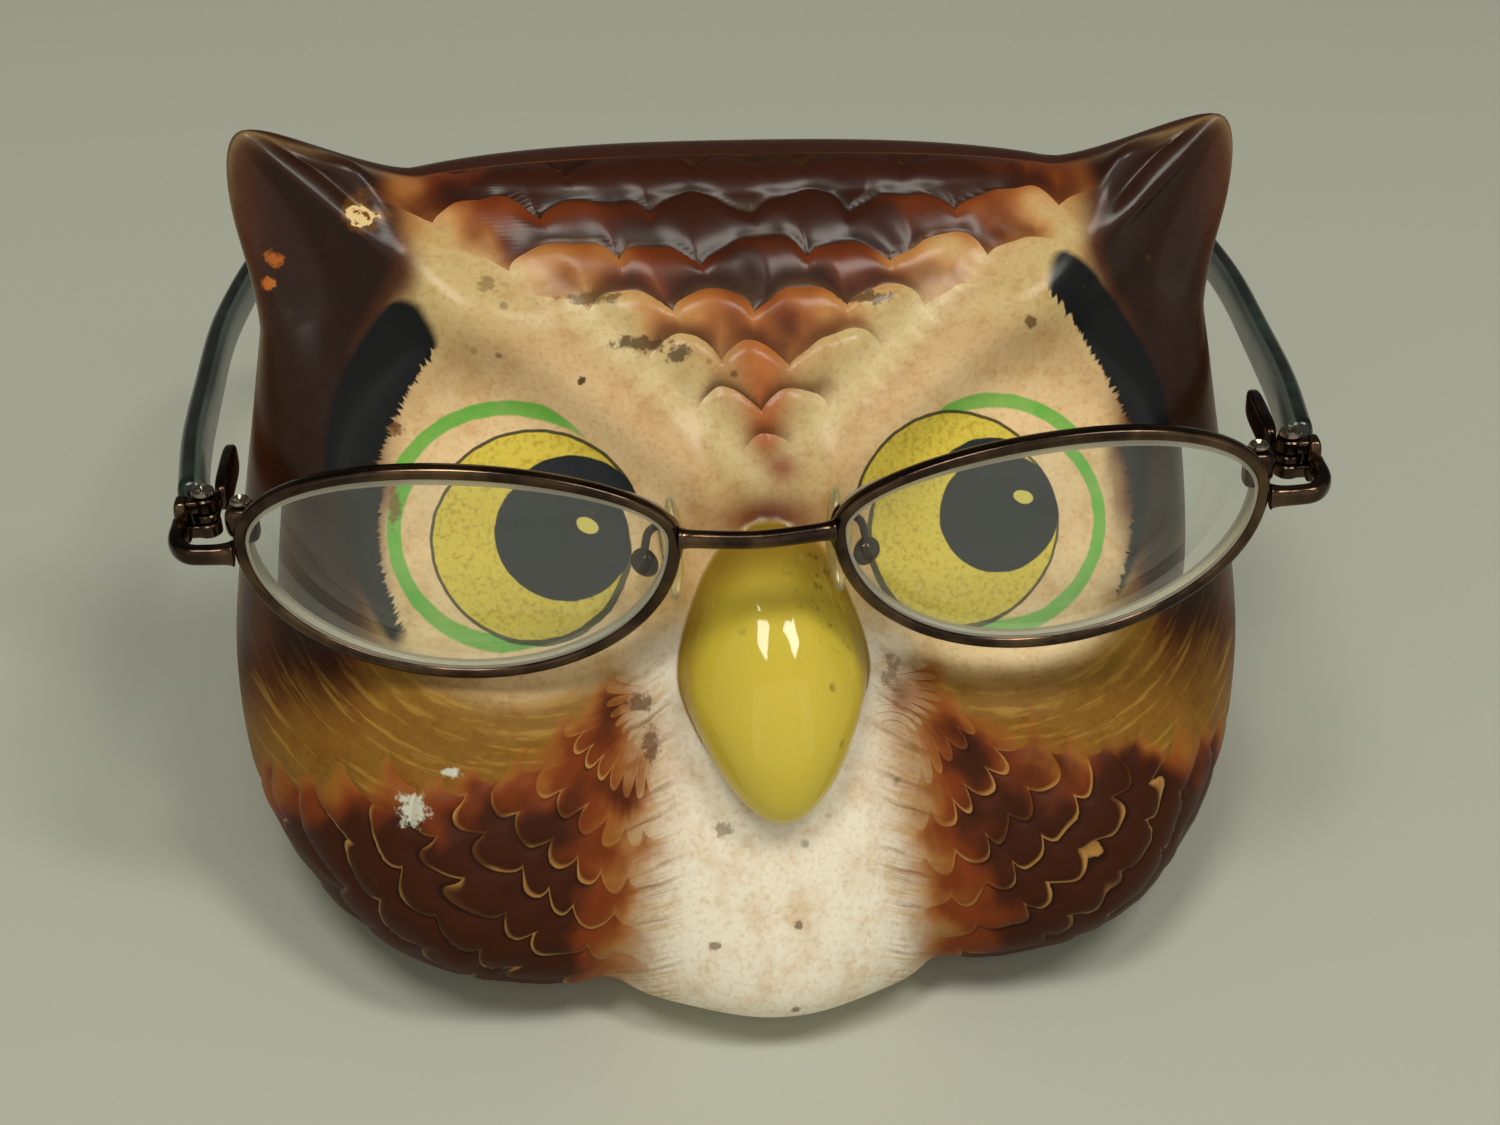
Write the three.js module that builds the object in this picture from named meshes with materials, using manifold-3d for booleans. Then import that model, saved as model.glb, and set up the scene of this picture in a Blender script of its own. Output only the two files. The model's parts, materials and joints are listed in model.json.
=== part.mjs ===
// Ceramic owl head that serves as a stand for a pair of spectacles, with the spectacles on it.
// Units are millimetres. +Z is up, the owl looks along -Y, and the origin is on the foot's face.
import * as THREE from 'three';
import Module from 'manifold-3d';
import { ParametricGeometry } from 'three/addons/geometries/ParametricGeometry.js';
import { mergeVertices } from 'three/addons/utils/BufferGeometryUtils.js';

// ---- owl head: heights paired with half widths and with the reach of the front and the back
const WIDTHS = [[0, 48], [6, 55], [16, 60], [28, 61.5], [42, 60], [58, 57.5], [72, 55.5], [80, 55]];
const FRONTS = [[0, -36], [8, -39.5], [20, -37.5], [34, -31], [48, -21.5], [60, -11.5], [70, -3], [80, 7]];
const BACKS = [[0, 30], [8, 34], [30, 36], [55, 34], [70, 31], [80, 27]];
const MIDDLES = [[0, -3], [30, -1], [60, 8], [80, 16]];
const CROWN = 82;              // height of the crown
const SHOULDER = 70;           // height where the walls start to turn in to the crown
const FOOT_ROUND = 5;          // height of the rounding above the foot
const SQUARENESS = 2.5;        // exponent of the superellipse that every level follows
const WALL = 5.5;              // thickness of the slip-cast wall
const FLOOR = 4.5;             // thickness of the floor
const VENT_RADIUS = 8;         // pouring hole in the floor
const VENT_Y = 13;             // its distance behind the origin
const BEAK = { z: 41, above: 12, below: 14, halfWidth: 10.8, topHalfWidth: 10, reach: 13, droop: 3.2 };
const EYE = { x: 28, z: 53, radius: 21, depth: 3.2 };
const HEAD_COLUMNS = 84;
const OUTER_ROWS = 34;
const INNER_ROWS = 9;

// ---- spectacles: the lens sizes that opticians use, and the wire and plastic sections
const LENS_WIDTH = 45.5;
const LENS_ABOVE = 8.4;        // lens height above its widest line
const LENS_BELOW = 16.35;      // lens height below its widest line
const LENS_GAP = 19.1;         // distance between the two lenses
const LENS_THICKNESS = 2;
const TOP_LEAN = 3.1;          // the outline's top is moved this far to the temple side
const BOTTOM_LEAN = -0.65;
const OUTLINE_POINTS = 40;
const RIM_WIDTH = 1.4;
const RIM_DEPTH = 1.9;
const WRAP = 4.5;              // degrees that each lens turns back towards its temple
const CLEAR = 0.3;             // gap between touching pieces
const BRIDGE_RADIUS = 1;
const BRIDGE_HEIGHT = 0.45;
const HINGE = { x: 60.25, y: 12, z: -0.6 };
const KNUCKLE_RADIUS = 1.5;
const BORE_RADIUS = 0.8;
const SCREW_RADIUS = 0.5;
const TEMPLE_THICKNESS = 3.2;
const TEMPLE_HEIGHT = 5.8;
const TEMPLE_SLOPE = 7;       // degrees that the temples fall towards their tips
const TIP_BEND = 38;           // further degrees at the ear bend
const TIP_LENGTH = 40;
const WIRE_RADIUS = 0.65;      // core wire in the temple, in a bore of a larger radius
const WIRE_BORE = 0.95;
const WEARING = { x: -3.16, y: -30.5, z: 59.97, pitch: -3, roll: 3.75, yaw: -4.12 };

const wasm = await Module();
wasm.setup();
const degrees = THREE.MathUtils.degToRad;

const finishes = {
  ceramic: new THREE.MeshStandardMaterial({ color: 0xc9b48e, roughness: 0.15 }),
  metal: new THREE.MeshStandardMaterial({ color: 0x5b4e44, roughness: 0.25, metalness: 0.9 }),
  steel: new THREE.MeshStandardMaterial({ color: 0x9a958c, roughness: 0.3, metalness: 1 }),
  lens: new THREE.MeshStandardMaterial({ color: 0xe8eef0, roughness: 0.02, transparent: true, opacity: 0.3 }),
  acetate: new THREE.MeshStandardMaterial({ color: 0x10221a, roughness: 0.25 }),
  silicone: new THREE.MeshStandardMaterial({ color: 0xd8d4b8, roughness: 0.2, transparent: true, opacity: 0.5 }),
};

// ---------------------------------------------------------------- solids and booleans

function welded(geometry) {
  const bare = geometry.clone();
  bare.deleteAttribute('normal');
  bare.deleteAttribute('uv');
  return mergeVertices(bare, 1e-4);
}

function toSolid(geometry) {
  const merged = welded(geometry);
  return new wasm.Manifold(new wasm.Mesh({
    numProp: 3,
    vertProperties: new Float32Array(merged.attributes.position.array),
    triVerts: new Uint32Array(merged.index.array),
  }));
}

function toGeometry(solid) {
  const mesh = solid.getMesh();
  const geometry = new THREE.BufferGeometry();
  geometry.setAttribute('position', new THREE.BufferAttribute(mesh.vertProperties, 3));
  geometry.setIndex(new THREE.BufferAttribute(mesh.triVerts, 1));
  return geometry;
}

function joined(...geometries) {
  return toGeometry(geometries.map(toSolid).reduce((sum, solid) => sum.add(solid)));
}

function cut(body, ...tools) {
  return toGeometry(tools.map(toSolid).reduce((rest, tool) => rest.subtract(tool), toSolid(body)));
}

function piece(name, geometry, material, parent) {
  const mesh = new THREE.Mesh(welded(geometry), material);
  mesh.name = name;
  parent.add(mesh);
  return mesh;
}

// ---------------------------------------------------------------- plain shapes

function box(x, y, z) {
  const size = new THREE.Vector3(x[1] - x[0], y[1] - y[0], z[1] - z[0]);
  const block = new THREE.BoxGeometry(size.x, size.y, size.z);
  return block.translate((x[0] + x[1]) / 2, (y[0] + y[1]) / 2, (z[0] + z[1]) / 2);
}

function uprightRod(radius, low, high, x, y, sides = 16) {
  const rod = new THREE.CylinderGeometry(radius, radius, high - low, sides).rotateX(Math.PI / 2);
  return rod.translate(x, y, (low + high) / 2);
}

function roundSection(radius, sides) {
  const points = [];
  for (let i = 0; i < sides; i += 1) {
    const angle = (2 * Math.PI * i) / sides;
    points.push(new THREE.Vector2(radius * Math.cos(angle), radius * Math.sin(angle)));
  }
  return new THREE.Shape(points);
}

function wire(points, radius, steps, sides = 8) {
  const path = new THREE.CatmullRomCurve3(points.map((p) => new THREE.Vector3(...p)));
  return new THREE.ExtrudeGeometry(roundSection(radius, sides), { steps, extrudePath: path });
}

// ---------------------------------------------------------------- owl head

// Smooth curve through [height, value] knots, by cubic Hermite pieces.
function along(knots, height) {
  const last = knots.length - 1;
  const h = THREE.MathUtils.clamp(height, knots[0][0], knots[last][0]);
  let i = 0;
  while (i < last - 1 && h >= knots[i + 1][0]) i += 1;
  const rise = (k) => (knots[k + 1][1] - knots[k][1]) / (knots[k + 1][0] - knots[k][0]);
  const slope = (k) => {
    if (k === 0) return rise(0);
    if (k === last) return rise(last - 1);
    return (rise(k - 1) + rise(k)) / 2;
  };
  const span = knots[i + 1][0] - knots[i][0];
  const u = (h - knots[i][0]) / span;
  return (1 + 2 * u) * (1 - u) ** 2 * knots[i][1] + u * (1 - u) ** 2 * span * slope(i)
    + u * u * (3 - 2 * u) * knots[i + 1][1] + u * u * (u - 1) * span * slope(i + 1);
}

const step = (low, high, x) => THREE.MathUtils.smoothstep(x, low, high);
// 1 up to the first value, falling smoothly to 0 at the second
const fade = (low, high, x) => 1 - step(low, high, x);
const bell = (...offsets) => Math.exp(-offsets.reduce((sum, offset) => sum + offset * offset, 0));

// A point of the plain head. The angle runs round the head from the middle of the face, and
// rise runs from 0 at the pouring hole over the foot and up the wall to 1 at the crown.
function plainHead(angle, rise, inset, floor) {
  const footEdge = 0.1;
  const wallStart = 0.16;
  const wallEnd = 0.74;
  let share = 1;
  let z = floor;
  if (rise < footEdge) {
    share = 0.9;
  } else if (rise < wallStart) {
    const turn = ((rise - footEdge) / (wallStart - footEdge)) * (Math.PI / 2);
    share = 0.9 + 0.1 * Math.sin(turn);
    z = floor + FOOT_ROUND * (1 - Math.cos(turn));
  } else if (rise < wallEnd) {
    const low = floor + FOOT_ROUND;
    z = low + ((SHOULDER - inset - low) * (rise - wallStart)) / (wallEnd - wallStart);
  } else {
    const turn = ((rise - wallEnd) / (1 - wallEnd)) * (Math.PI / 2);
    share = Math.max(Math.cos(turn), 0) ** 0.72;
    z = SHOULDER - inset + (CROWN - SHOULDER) * Math.sin(turn) ** 0.95;
  }
  const sin = Math.sin(angle);
  const cos = Math.cos(angle);
  const reach = (Math.abs(sin) ** SQUARENESS + Math.abs(cos) ** SQUARENESS) ** (-1 / SQUARENESS);
  const middle = along(MIDDLES, z);
  const depth = cos > 0 ? middle - along(FRONTS, z) : along(BACKS, z) - middle;
  const x = share * (along(WIDTHS, z) - inset) * reach * sin;
  const y = middle - share * (depth - inset) * reach * cos;
  if (rise >= footEdge) return new THREE.Vector3(x, y, z);
  const hole = new THREE.Vector3(VENT_RADIUS * sin, VENT_Y - VENT_RADIUS * cos, z);
  return hole.lerp(new THREE.Vector3(x, y, z), rise / footEdge);
}

// Cheeks, bib, beak, eye dishes, brows and ears, each a smooth push on the plain head.
function carve(point, angle, rise) {
  const { x, y, z } = point;
  const side = Math.sign(x);
  const out = Math.abs(x);
  const face = step(-0.1, 0.35, Math.cos(angle)) * step(0.11, 0.17, rise);
  const push = new THREE.Vector3();
  const add = (amount, dx, dy, dz) => push.add(new THREE.Vector3(dx, dy, dz).multiplyScalar(amount));

  add(face * bell((out - 36) / 18, (z - 18) / 17), side * 2, -8.5, -0.5);
  add(face * bell(x / 17) * fade(6, 36, z), 0, -10, 0);
  const valley = 11 + 9 * THREE.MathUtils.clamp((40 - z) / 38, 0, 1) ** 1.2;
  add(face * bell((out - valley) / 3) * fade(32, 40, z), 0, 2, 0);

  const v = z - BEAK.z;
  const share = THREE.MathUtils.clamp(-v / BEAK.below, 0, 1);
  const halfWidth = v > 0 ? BEAK.topHalfWidth : BEAK.halfWidth * (1 - 0.62 * share ** 1.4);
  const lift = v / (v > 0 ? BEAK.above : BEAK.below);
  const lump = Math.max(1 - (x / halfWidth) ** 2 - lift ** 2, 0) ** 0.62;
  add(face * lump, 0, -BEAK.reach, -BEAK.droop * fade(-12, 10, v));

  const dish = Math.hypot(out - EYE.x, (z - EYE.z) * 1.12) / EYE.radius;
  add(face * fade(0.45, 1, dish), 0, EYE.depth, -1.5);
  const aboveBrow = (z - 55 - (out - 3) * 0.55) * 0.87;
  add(face * bell(aboveBrow / 4.2) * step(0, 8, out) * fade(48, 56, out), 0, -2.6, 1.4);
  add(face * step(0, 10, aboveBrow) * bell(x / 30) * fade(74, 84, z), 0, -2, 1.2);

  const fromTip = Math.hypot((out - 54) / 17, (z - 78) / 15, (y - 14) / 17);
  add(Math.max(1 - fromTip, 0) ** 1.5, side * 9, 2, 16);
  add(face * bell((out - 49) / 7, (z - 71) / 8), 0, 4, -1);
  point.add(push);
  point.z = Math.max(point.z, 0);
}

function owlHead() {
  const rows = INNER_ROWS + OUTER_ROWS;
  const skin = (u, v, target) => {
    const turn = 2 * Math.PI * (u - 0.5);
    const angle = turn - 0.45 * Math.sin(turn);
    const row = v * (rows + 1);
    if (row < INNER_ROWS + 0.5) {
      const rise = 1 - row / INNER_ROWS;
      target.copy(plainHead(angle, Math.max(rise, 0), WALL, FLOOR));
      return;
    }
    const rise = Math.min((row - INNER_ROWS - 1) / OUTER_ROWS, 1);
    const point = plainHead(angle, Math.max(rise, 0), 0, 0);
    carve(point, angle, rise);
    target.copy(point);
  };
  return new ParametricGeometry(skin, HEAD_COLUMNS, rows + 1);
}

// ---------------------------------------------------------------- spectacles

// Lens outline seen from the front, moved outwards by grow; side is 1 on the right, -1 on the left.
function lensOutline(side, grow) {
  const points = [];
  for (let i = 0; i < OUTLINE_POINTS; i += 1) {
    const angle = (2 * Math.PI * i) / OUTLINE_POINTS;
    const sin = Math.sin(angle);
    const lean = sin > 0 ? TOP_LEAN : BOTTOM_LEAN;
    const half = LENS_WIDTH / 2 + grow;
    const x = LENS_GAP / 2 + LENS_WIDTH / 2 + half * Math.cos(angle) + lean * sin * sin;
    points.push(new THREE.Vector2(side * x, ((sin > 0 ? LENS_ABOVE : LENS_BELOW) + grow) * sin));
  }
  return side > 0 ? points : points.reverse();
}

function plate(outline, hole, depth) {
  const shape = new THREE.Shape(outline);
  if (hole) shape.holes.push(new THREE.Path(hole));
  const slab = new THREE.ExtrudeGeometry(shape, { depth, bevelEnabled: false });
  return slab.rotateX(Math.PI / 2).translate(0, depth / 2, 0);
}

function addLensGroup(front, side, word) {
  const group = new THREE.Group();
  group.rotation.z = side * degrees(WRAP);
  front.add(group);
  const rim = plate(lensOutline(side, RIM_WIDTH), lensOutline(side, 0), RIM_DEPTH);
  piece(`rim_${word}`, rim, finishes.metal, group);
  piece(`lens_${word}`, plate(lensOutline(side, -CLEAR), null, LENS_THICKNESS), finishes.lens, group);

  const rimEnd = LENS_GAP / 2 + LENS_WIDTH + RIM_WIDTH;
  const blockX = [side * (rimEnd - 2.6), side * (rimEnd + 1.2)].sort((a, b) => a - b);
  const blockY = [RIM_DEPTH / 2 + CLEAR, RIM_DEPTH / 2 + CLEAR + 2.8];
  const screwX = side * (rimEnd - 0.7);
  const screwY = (blockY[0] + blockY[1]) / 2;
  const bore = uprightRod(BORE_RADIUS, -4, 4, screwX, screwY);
  const block = cut(box(blockX, blockY, [-0.2, 3.4]), bore);
  piece(`closing_block_${word}`, block, finishes.metal, group);
  const shank = uprightRod(SCREW_RADIUS, -0.6, 3.9, screwX, screwY);
  const head = uprightRod(1.1, 3.7, 4.4, screwX, screwY);
  piece(`closing_screw_${word}`, joined(shank, head), finishes.steel, group);
}

function addNosePad(front, side, word) {
  const arm = [[8.85, 2.3, -2.3], [8.5, 3.9, -0.9], [9.4, 5.8, -0.4], [10.9, 7.4, -2.2], [11.5, 7.7, -4.1]];
  const armPath = arm.map(([x, y, z]) => [side * x, y, z]);
  piece(`pad_arm_${word}`, wire(armPath, 0.5, 14), finishes.metal, front);
  const knob = new THREE.CylinderGeometry(1.65, 1.65, 1.8, 16).rotateZ(Math.PI / 2);
  piece(`pad_box_${word}`, knob.translate(side * 11.5, 7.7, -6.6), finishes.metal, front);
  const pad = new THREE.SphereGeometry(1, 16, 10).scale(1.1, 3, 5.8);
  pad.rotateX(degrees(-28)).translate(side * 9.2, 7.3, -5.4);
  piece(`nose_pad_${word}`, pad, finishes.silicone, front);
}

function addEndPiece(front, side, word) {
  const route = [[57.25, 4.6, -1.4], [59.9, 4.8, -1.3], [62.05, 5.8, -1.1], [62.85, 9.6, -0.8]];
  const routePath = route.map(([x, y, z]) => [side * x, y, z]);
  piece(`end_piece_${word}`, wire(routePath, 1.05, 12, 10), finishes.metal, front);
}

// Two outer knuckles on a plate belong to the front; the middle one is on the temple's spring box.
function addFrontKnuckles(front, side, word) {
  const barrels = [[-2.4, -0.75], [0.75, 2.4]].map(([low, high]) => (
    uprightRod(KNUCKLE_RADIUS, HINGE.z + low, HINGE.z + high, side * HINGE.x, HINGE.y)
  ));
  const levels = [[-2.4, -0.75], [0.75, 2.4]].map(([low, high]) => box(
    [side * HINGE.x, side * (HINGE.x + 2.4)].sort((a, b) => a - b),
    [HINGE.y - 1.4, HINGE.y + 0.3],
    [HINGE.z + low, HINGE.z + high],
  ));
  const plateX = [side * (HINGE.x + 1.9), side * (HINGE.x + 3.2)].sort((a, b) => a - b);
  const back = box(plateX, [HINGE.y - 2.1, HINGE.y + 0.4], [HINGE.z - 2.8, HINGE.z + 2.8]);
  const bore = uprightRod(BORE_RADIUS, HINGE.z - 4, HINGE.z + 4, side * HINGE.x, HINGE.y);
  piece(`front_knuckle_${word}`, cut(joined(back, ...barrels, ...levels), bore), finishes.metal, front);
  const shank = uprightRod(SCREW_RADIUS, HINGE.z - 2.7, HINGE.z + 3, side * HINGE.x, HINGE.y);
  const head = uprightRod(1.3, HINGE.z + 2.7, HINGE.z + 3.5, side * HINGE.x, HINGE.y);
  piece(`hinge_screw_${word}`, joined(shank, head), finishes.steel, front);
}

function addSpringBox(front, side, word) {
  const knuckle = uprightRod(KNUCKLE_RADIUS, HINGE.z - 0.45, HINGE.z + 0.45, side * HINGE.x, HINGE.y);
  const boxX = [side * (HINGE.x - 2.1), side * (HINGE.x - 0.5)].sort((a, b) => a - b);
  const armX = [side * (HINGE.x - 1.5), side * (HINGE.x - 0.5)].sort((a, b) => a - b);
  const arm = box(armX, [HINGE.y, HINGE.y + 4], [HINGE.z - 0.45, HINGE.z + 0.45]);
  const housing = box(boxX, [HINGE.y + 2.6, HINGE.y + 13], [HINGE.z - 1.9, HINGE.z + 1.9]);
  const bore = uprightRod(BORE_RADIUS, HINGE.z - 4, HINGE.z + 4, side * HINGE.x, HINGE.y);
  piece(`spring_box_${word}`, cut(joined(knuckle, arm, housing), bore), finishes.metal, front);
}

// The temple's centre line: splayed a little round the head, then the ear bend and the tip.
function templeRoute(side) {
  const slope = degrees(TEMPLE_SLOPE);
  const straight = [[62.1, 2.6], [64.1, 18], [65.2, 33], [66.4, 60], [64, 90]];
  const points = straight.map(([x, run]) => [
    x, HINGE.y + run * Math.cos(slope), HINGE.z - run * Math.sin(slope),
  ]);
  const [x, y, z] = points[points.length - 1];
  for (let i = 1; i <= 6; i += 1) {
    const bend = slope + degrees(TIP_BEND) * Math.min(i / 3, 1);
    const [px, py, pz] = points[points.length - 1];
    const length = i < 3 ? 4 : TIP_LENGTH / 4;
    points.push([px - 0.35, py + length * Math.cos(bend), pz - length * Math.sin(bend)]);
  }
  return points.map((p) => new THREE.Vector3(side * p[0], p[1], p[2]));
}

// A section carried along the route by a sweep whose rows stay upright; a run below 0 starts
// that many decimetres before the route.
function templeSweep(side, halfThickness, halfHeight, from, to, rows, corners) {
  const curve = new THREE.CatmullRomCurve3(templeRoute(side));
  const ring = [];
  for (let i = 0; i < corners; i += 1) {
    const angle = (2 * Math.PI * (i + 0.5)) / corners;
    const pinch = (w) => Math.sign(w) * Math.abs(w) ** 0.6;
    ring.push([pinch(Math.cos(angle)), pinch(Math.sin(angle))]);
  }
  const skin = (u, v, target) => {
    const row = Math.round(v * (rows + 2));
    const share = THREE.MathUtils.clamp((row - 1) / rows, 0, 1);
    const run = from + (to - from) * share;
    const ahead = curve.getTangentAt(Math.max(run, 0));
    const place = curve.getPointAt(Math.max(run, 0)).addScaledVector(ahead, Math.min(run, 0) * 100);
    if (row === 0 || row === rows + 2) {
      target.copy(place);
      return;
    }
    const across = new THREE.Vector3(0, 0, 1).cross(ahead).normalize();
    const up = ahead.clone().cross(across);
    const [a, b] = ring[Math.round(u * corners) % corners];
    target.copy(place).addScaledVector(across, a * halfThickness(share));
    target.addScaledVector(up, b * halfHeight(share));
  };
  return new ParametricGeometry(skin, corners, rows + 2);
}

function addTemple(front, side, word) {
  const flat = (share) => TEMPLE_THICKNESS / 2 - 0.3 * step(0.7, 1, share);
  const tall = (share) => TEMPLE_HEIGHT / 2 - 0.7 * step(0, 0.35, share) + 0.6 * step(0.75, 0.95, share);
  const plastic = templeSweep(side, flat, tall, 0, 1, 34, 12);
  const bore = templeSweep(side, () => WIRE_BORE, () => WIRE_BORE, -0.01, 0.62, 14, 8);
  piece(`temple_${word}`, cut(plastic, bore), finishes.acetate, front);
  const core = templeSweep(side, () => WIRE_RADIUS, () => WIRE_RADIUS, 0.003, 0.6, 14, 8);
  piece(`core_wire_${word}`, core, finishes.steel, front);
}

function spectacles() {
  const front = new THREE.Group();
  front.position.set(WEARING.x, WEARING.y, WEARING.z);
  front.rotation.set(degrees(WEARING.pitch), degrees(-WEARING.roll), degrees(WEARING.yaw));
  const bridgeEnd = LENS_GAP / 2 - RIM_WIDTH - CLEAR;
  const bar = [[-bridgeEnd, 0, BRIDGE_HEIGHT], [0, -0.4, BRIDGE_HEIGHT - 0.35], [bridgeEnd, 0, BRIDGE_HEIGHT]];
  piece('bridge', wire(bar, BRIDGE_RADIUS, 8, 12), finishes.metal, front);
  [['left', -1], ['right', 1]].forEach(([word, side]) => {
    addLensGroup(front, side, word);
    addNosePad(front, side, word);
    addEndPiece(front, side, word);
    addFrontKnuckles(front, side, word);
    addSpringBox(front, side, word);
    addTemple(front, side, word);
  });
  return front;
}

const owlStand = new THREE.Group();
piece('owl_head', owlHead(), finishes.ceramic, owlStand);
owlStand.add(spectacles());

export default owlStand;
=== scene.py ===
"""Glazed ceramic owl head, a stand for spectacles, with a pair of metal-rimmed spectacles on it."""
import json
import math

import bpy
import mathutils
import numpy as np
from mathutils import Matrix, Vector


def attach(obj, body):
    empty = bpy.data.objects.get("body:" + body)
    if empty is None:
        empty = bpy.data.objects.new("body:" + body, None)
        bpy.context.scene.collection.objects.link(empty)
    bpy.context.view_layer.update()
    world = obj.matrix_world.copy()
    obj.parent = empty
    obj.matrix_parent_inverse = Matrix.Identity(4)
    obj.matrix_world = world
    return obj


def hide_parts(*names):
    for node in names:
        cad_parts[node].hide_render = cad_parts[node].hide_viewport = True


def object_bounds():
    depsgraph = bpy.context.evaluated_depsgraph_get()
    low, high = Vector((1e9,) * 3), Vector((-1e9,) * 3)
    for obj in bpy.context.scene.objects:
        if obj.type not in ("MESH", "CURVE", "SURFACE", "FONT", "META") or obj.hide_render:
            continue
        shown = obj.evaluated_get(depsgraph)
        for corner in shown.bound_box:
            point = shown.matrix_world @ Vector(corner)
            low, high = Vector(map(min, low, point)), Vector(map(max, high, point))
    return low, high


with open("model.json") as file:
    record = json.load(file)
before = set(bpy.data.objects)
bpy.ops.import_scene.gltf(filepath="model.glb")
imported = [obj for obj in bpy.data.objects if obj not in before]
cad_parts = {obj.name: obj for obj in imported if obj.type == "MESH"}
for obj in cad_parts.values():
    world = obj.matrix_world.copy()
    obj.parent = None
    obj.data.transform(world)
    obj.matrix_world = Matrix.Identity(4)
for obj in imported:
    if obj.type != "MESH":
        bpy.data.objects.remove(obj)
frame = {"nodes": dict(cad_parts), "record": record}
cad_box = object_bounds()
MM = 0.001

# ------------------------------------------------------------------ owl shell: shape
# Slip-cast earthenware: liquid clay poured into a plaster mould, so one thin hollow shell with
# soft edges, a flat foot and a pouring hole under it. The face leans back about 36 degrees.
HALF_WIDTHS = [(0, 48), (6, 55), (16, 60), (28, 61.5), (42, 60), (58, 57.5), (72, 55.5), (80, 55)]
FRONTS = [(0, -36), (8, -39.5), (20, -37.5), (34, -31), (48, -21.5), (60, -11.5), (70, -3), (80, 7)]
BACKS = [(0, 30), (8, 34), (30, 36), (55, 34), (70, 31), (80, 27)]
MIDDLES = [(0, -3), (30, -1), (60, 8), (80, 16)]
CROWN, SHOULDER, FOOT_ROUND = 82.0, 70.0, 5.0
SQUARENESS = 2.5
WALL, FLOOR = 5.5, 4.5
VENT_RADIUS, VENT_Y = 8.0, 13.0
FACE_LEAN = math.radians(36)
BEAK_Z, BEAK_ABOVE, BEAK_BELOW = 39.5, 13.5, 12.5
EYE_X, EYE_Z = 28.0, 53.0


def through(knots, x):
    """Cubic Hermite pieces through (place, value) knots, each slope the mean of its neighbours'."""
    place, value = np.array(knots, float).T
    rise = np.diff(value) / np.diff(place)
    slope = np.concatenate([rise[:1], (rise[1:] + rise[:-1]) / 2, rise[-1:]])
    x = np.clip(x, place[0], place[-1])
    i = np.clip(np.searchsorted(place, x, side="right") - 1, 0, len(place) - 2)
    span = place[i + 1] - place[i]
    u = (x - place[i]) / span
    start = (1 + 2 * u) * (1 - u) ** 2 * value[i] + u * (1 - u) ** 2 * span * slope[i]
    return start + u * u * (3 - 2 * u) * value[i + 1] + u * u * (u - 1) * span * slope[i + 1]


def rising(low, high, x):
    """0 below low, 1 above high, a smooth S between them."""
    u = np.clip((x - low) / (high - low), 0, 1)
    return u * u * (3 - 2 * u)


def bell(*offsets):
    """A bump of height 1 that falls as exp(-r squared), r counted in the given half widths."""
    return np.exp(-sum(offset * offset for offset in offsets))


def plain_head(angle, rise, inset, floor):
    """Superellipse levels of growing height: x = share W(z) r sin a, y = m(z) - share d(z) r cos a.

    rise 0 to 0.1 crosses the foot from the pouring hole, 0.1 to 0.16 rounds the foot's edge,
    0.16 to 0.74 climbs the wall and 0.74 to 1 closes the crown."""
    foot = np.clip((rise - 0.10) / 0.06, 0, 1) * math.pi / 2
    wall = np.clip((rise - 0.16) / 0.58, 0, 1)
    crown = np.arccos(np.clip(1 - np.clip((rise - 0.74) / 0.26, 0, 1) ** 1.7, 0, 1) ** (1 / 0.72))
    share = (0.9 + 0.1 * np.sin(foot)) * np.cos(crown) ** 0.72
    low = floor + FOOT_ROUND * (1 - np.cos(foot))
    z = low + (SHOULDER - inset - floor - FOOT_ROUND) * wall + (CROWN - SHOULDER) * np.sin(crown) ** 0.95
    sin, cos = np.sin(angle), np.cos(angle)
    reach = (np.abs(sin) ** SQUARENESS + np.abs(cos) ** SQUARENESS) ** (-1 / SQUARENESS)
    middle = through(MIDDLES, z)
    depth = np.where(cos > 0, middle - through(FRONTS, z), through(BACKS, z) - middle) - inset
    x = share * (through(HALF_WIDTHS, z) - inset) * reach * sin
    y = middle - share * depth * reach * cos
    across = np.clip(rise / 0.10, 0, 1)
    x = VENT_RADIUS * sin + (x - VENT_RADIUS * sin) * across
    y = (VENT_Y - VENT_RADIUS * cos) + (y - VENT_Y + VENT_RADIUS * cos) * across
    return x, y, z


def beak_field(x, z):
    """1 at the beak's middle, 0 on its outline, below 0 outside: 1 - (x / w)^2 - (v / h)^2, with w
    narrowing a little towards the tip."""
    v = z - BEAK_Z
    half = 10.8 - 0.8 * rising(0, 8, v) - 3.0 * np.clip(-v / BEAK_BELOW, 0, 1.2) ** 1.5
    return 1 - (x / half) ** 2 - (v / np.where(v > 0, BEAK_ABOVE, BEAK_BELOW)) ** 2


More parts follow.
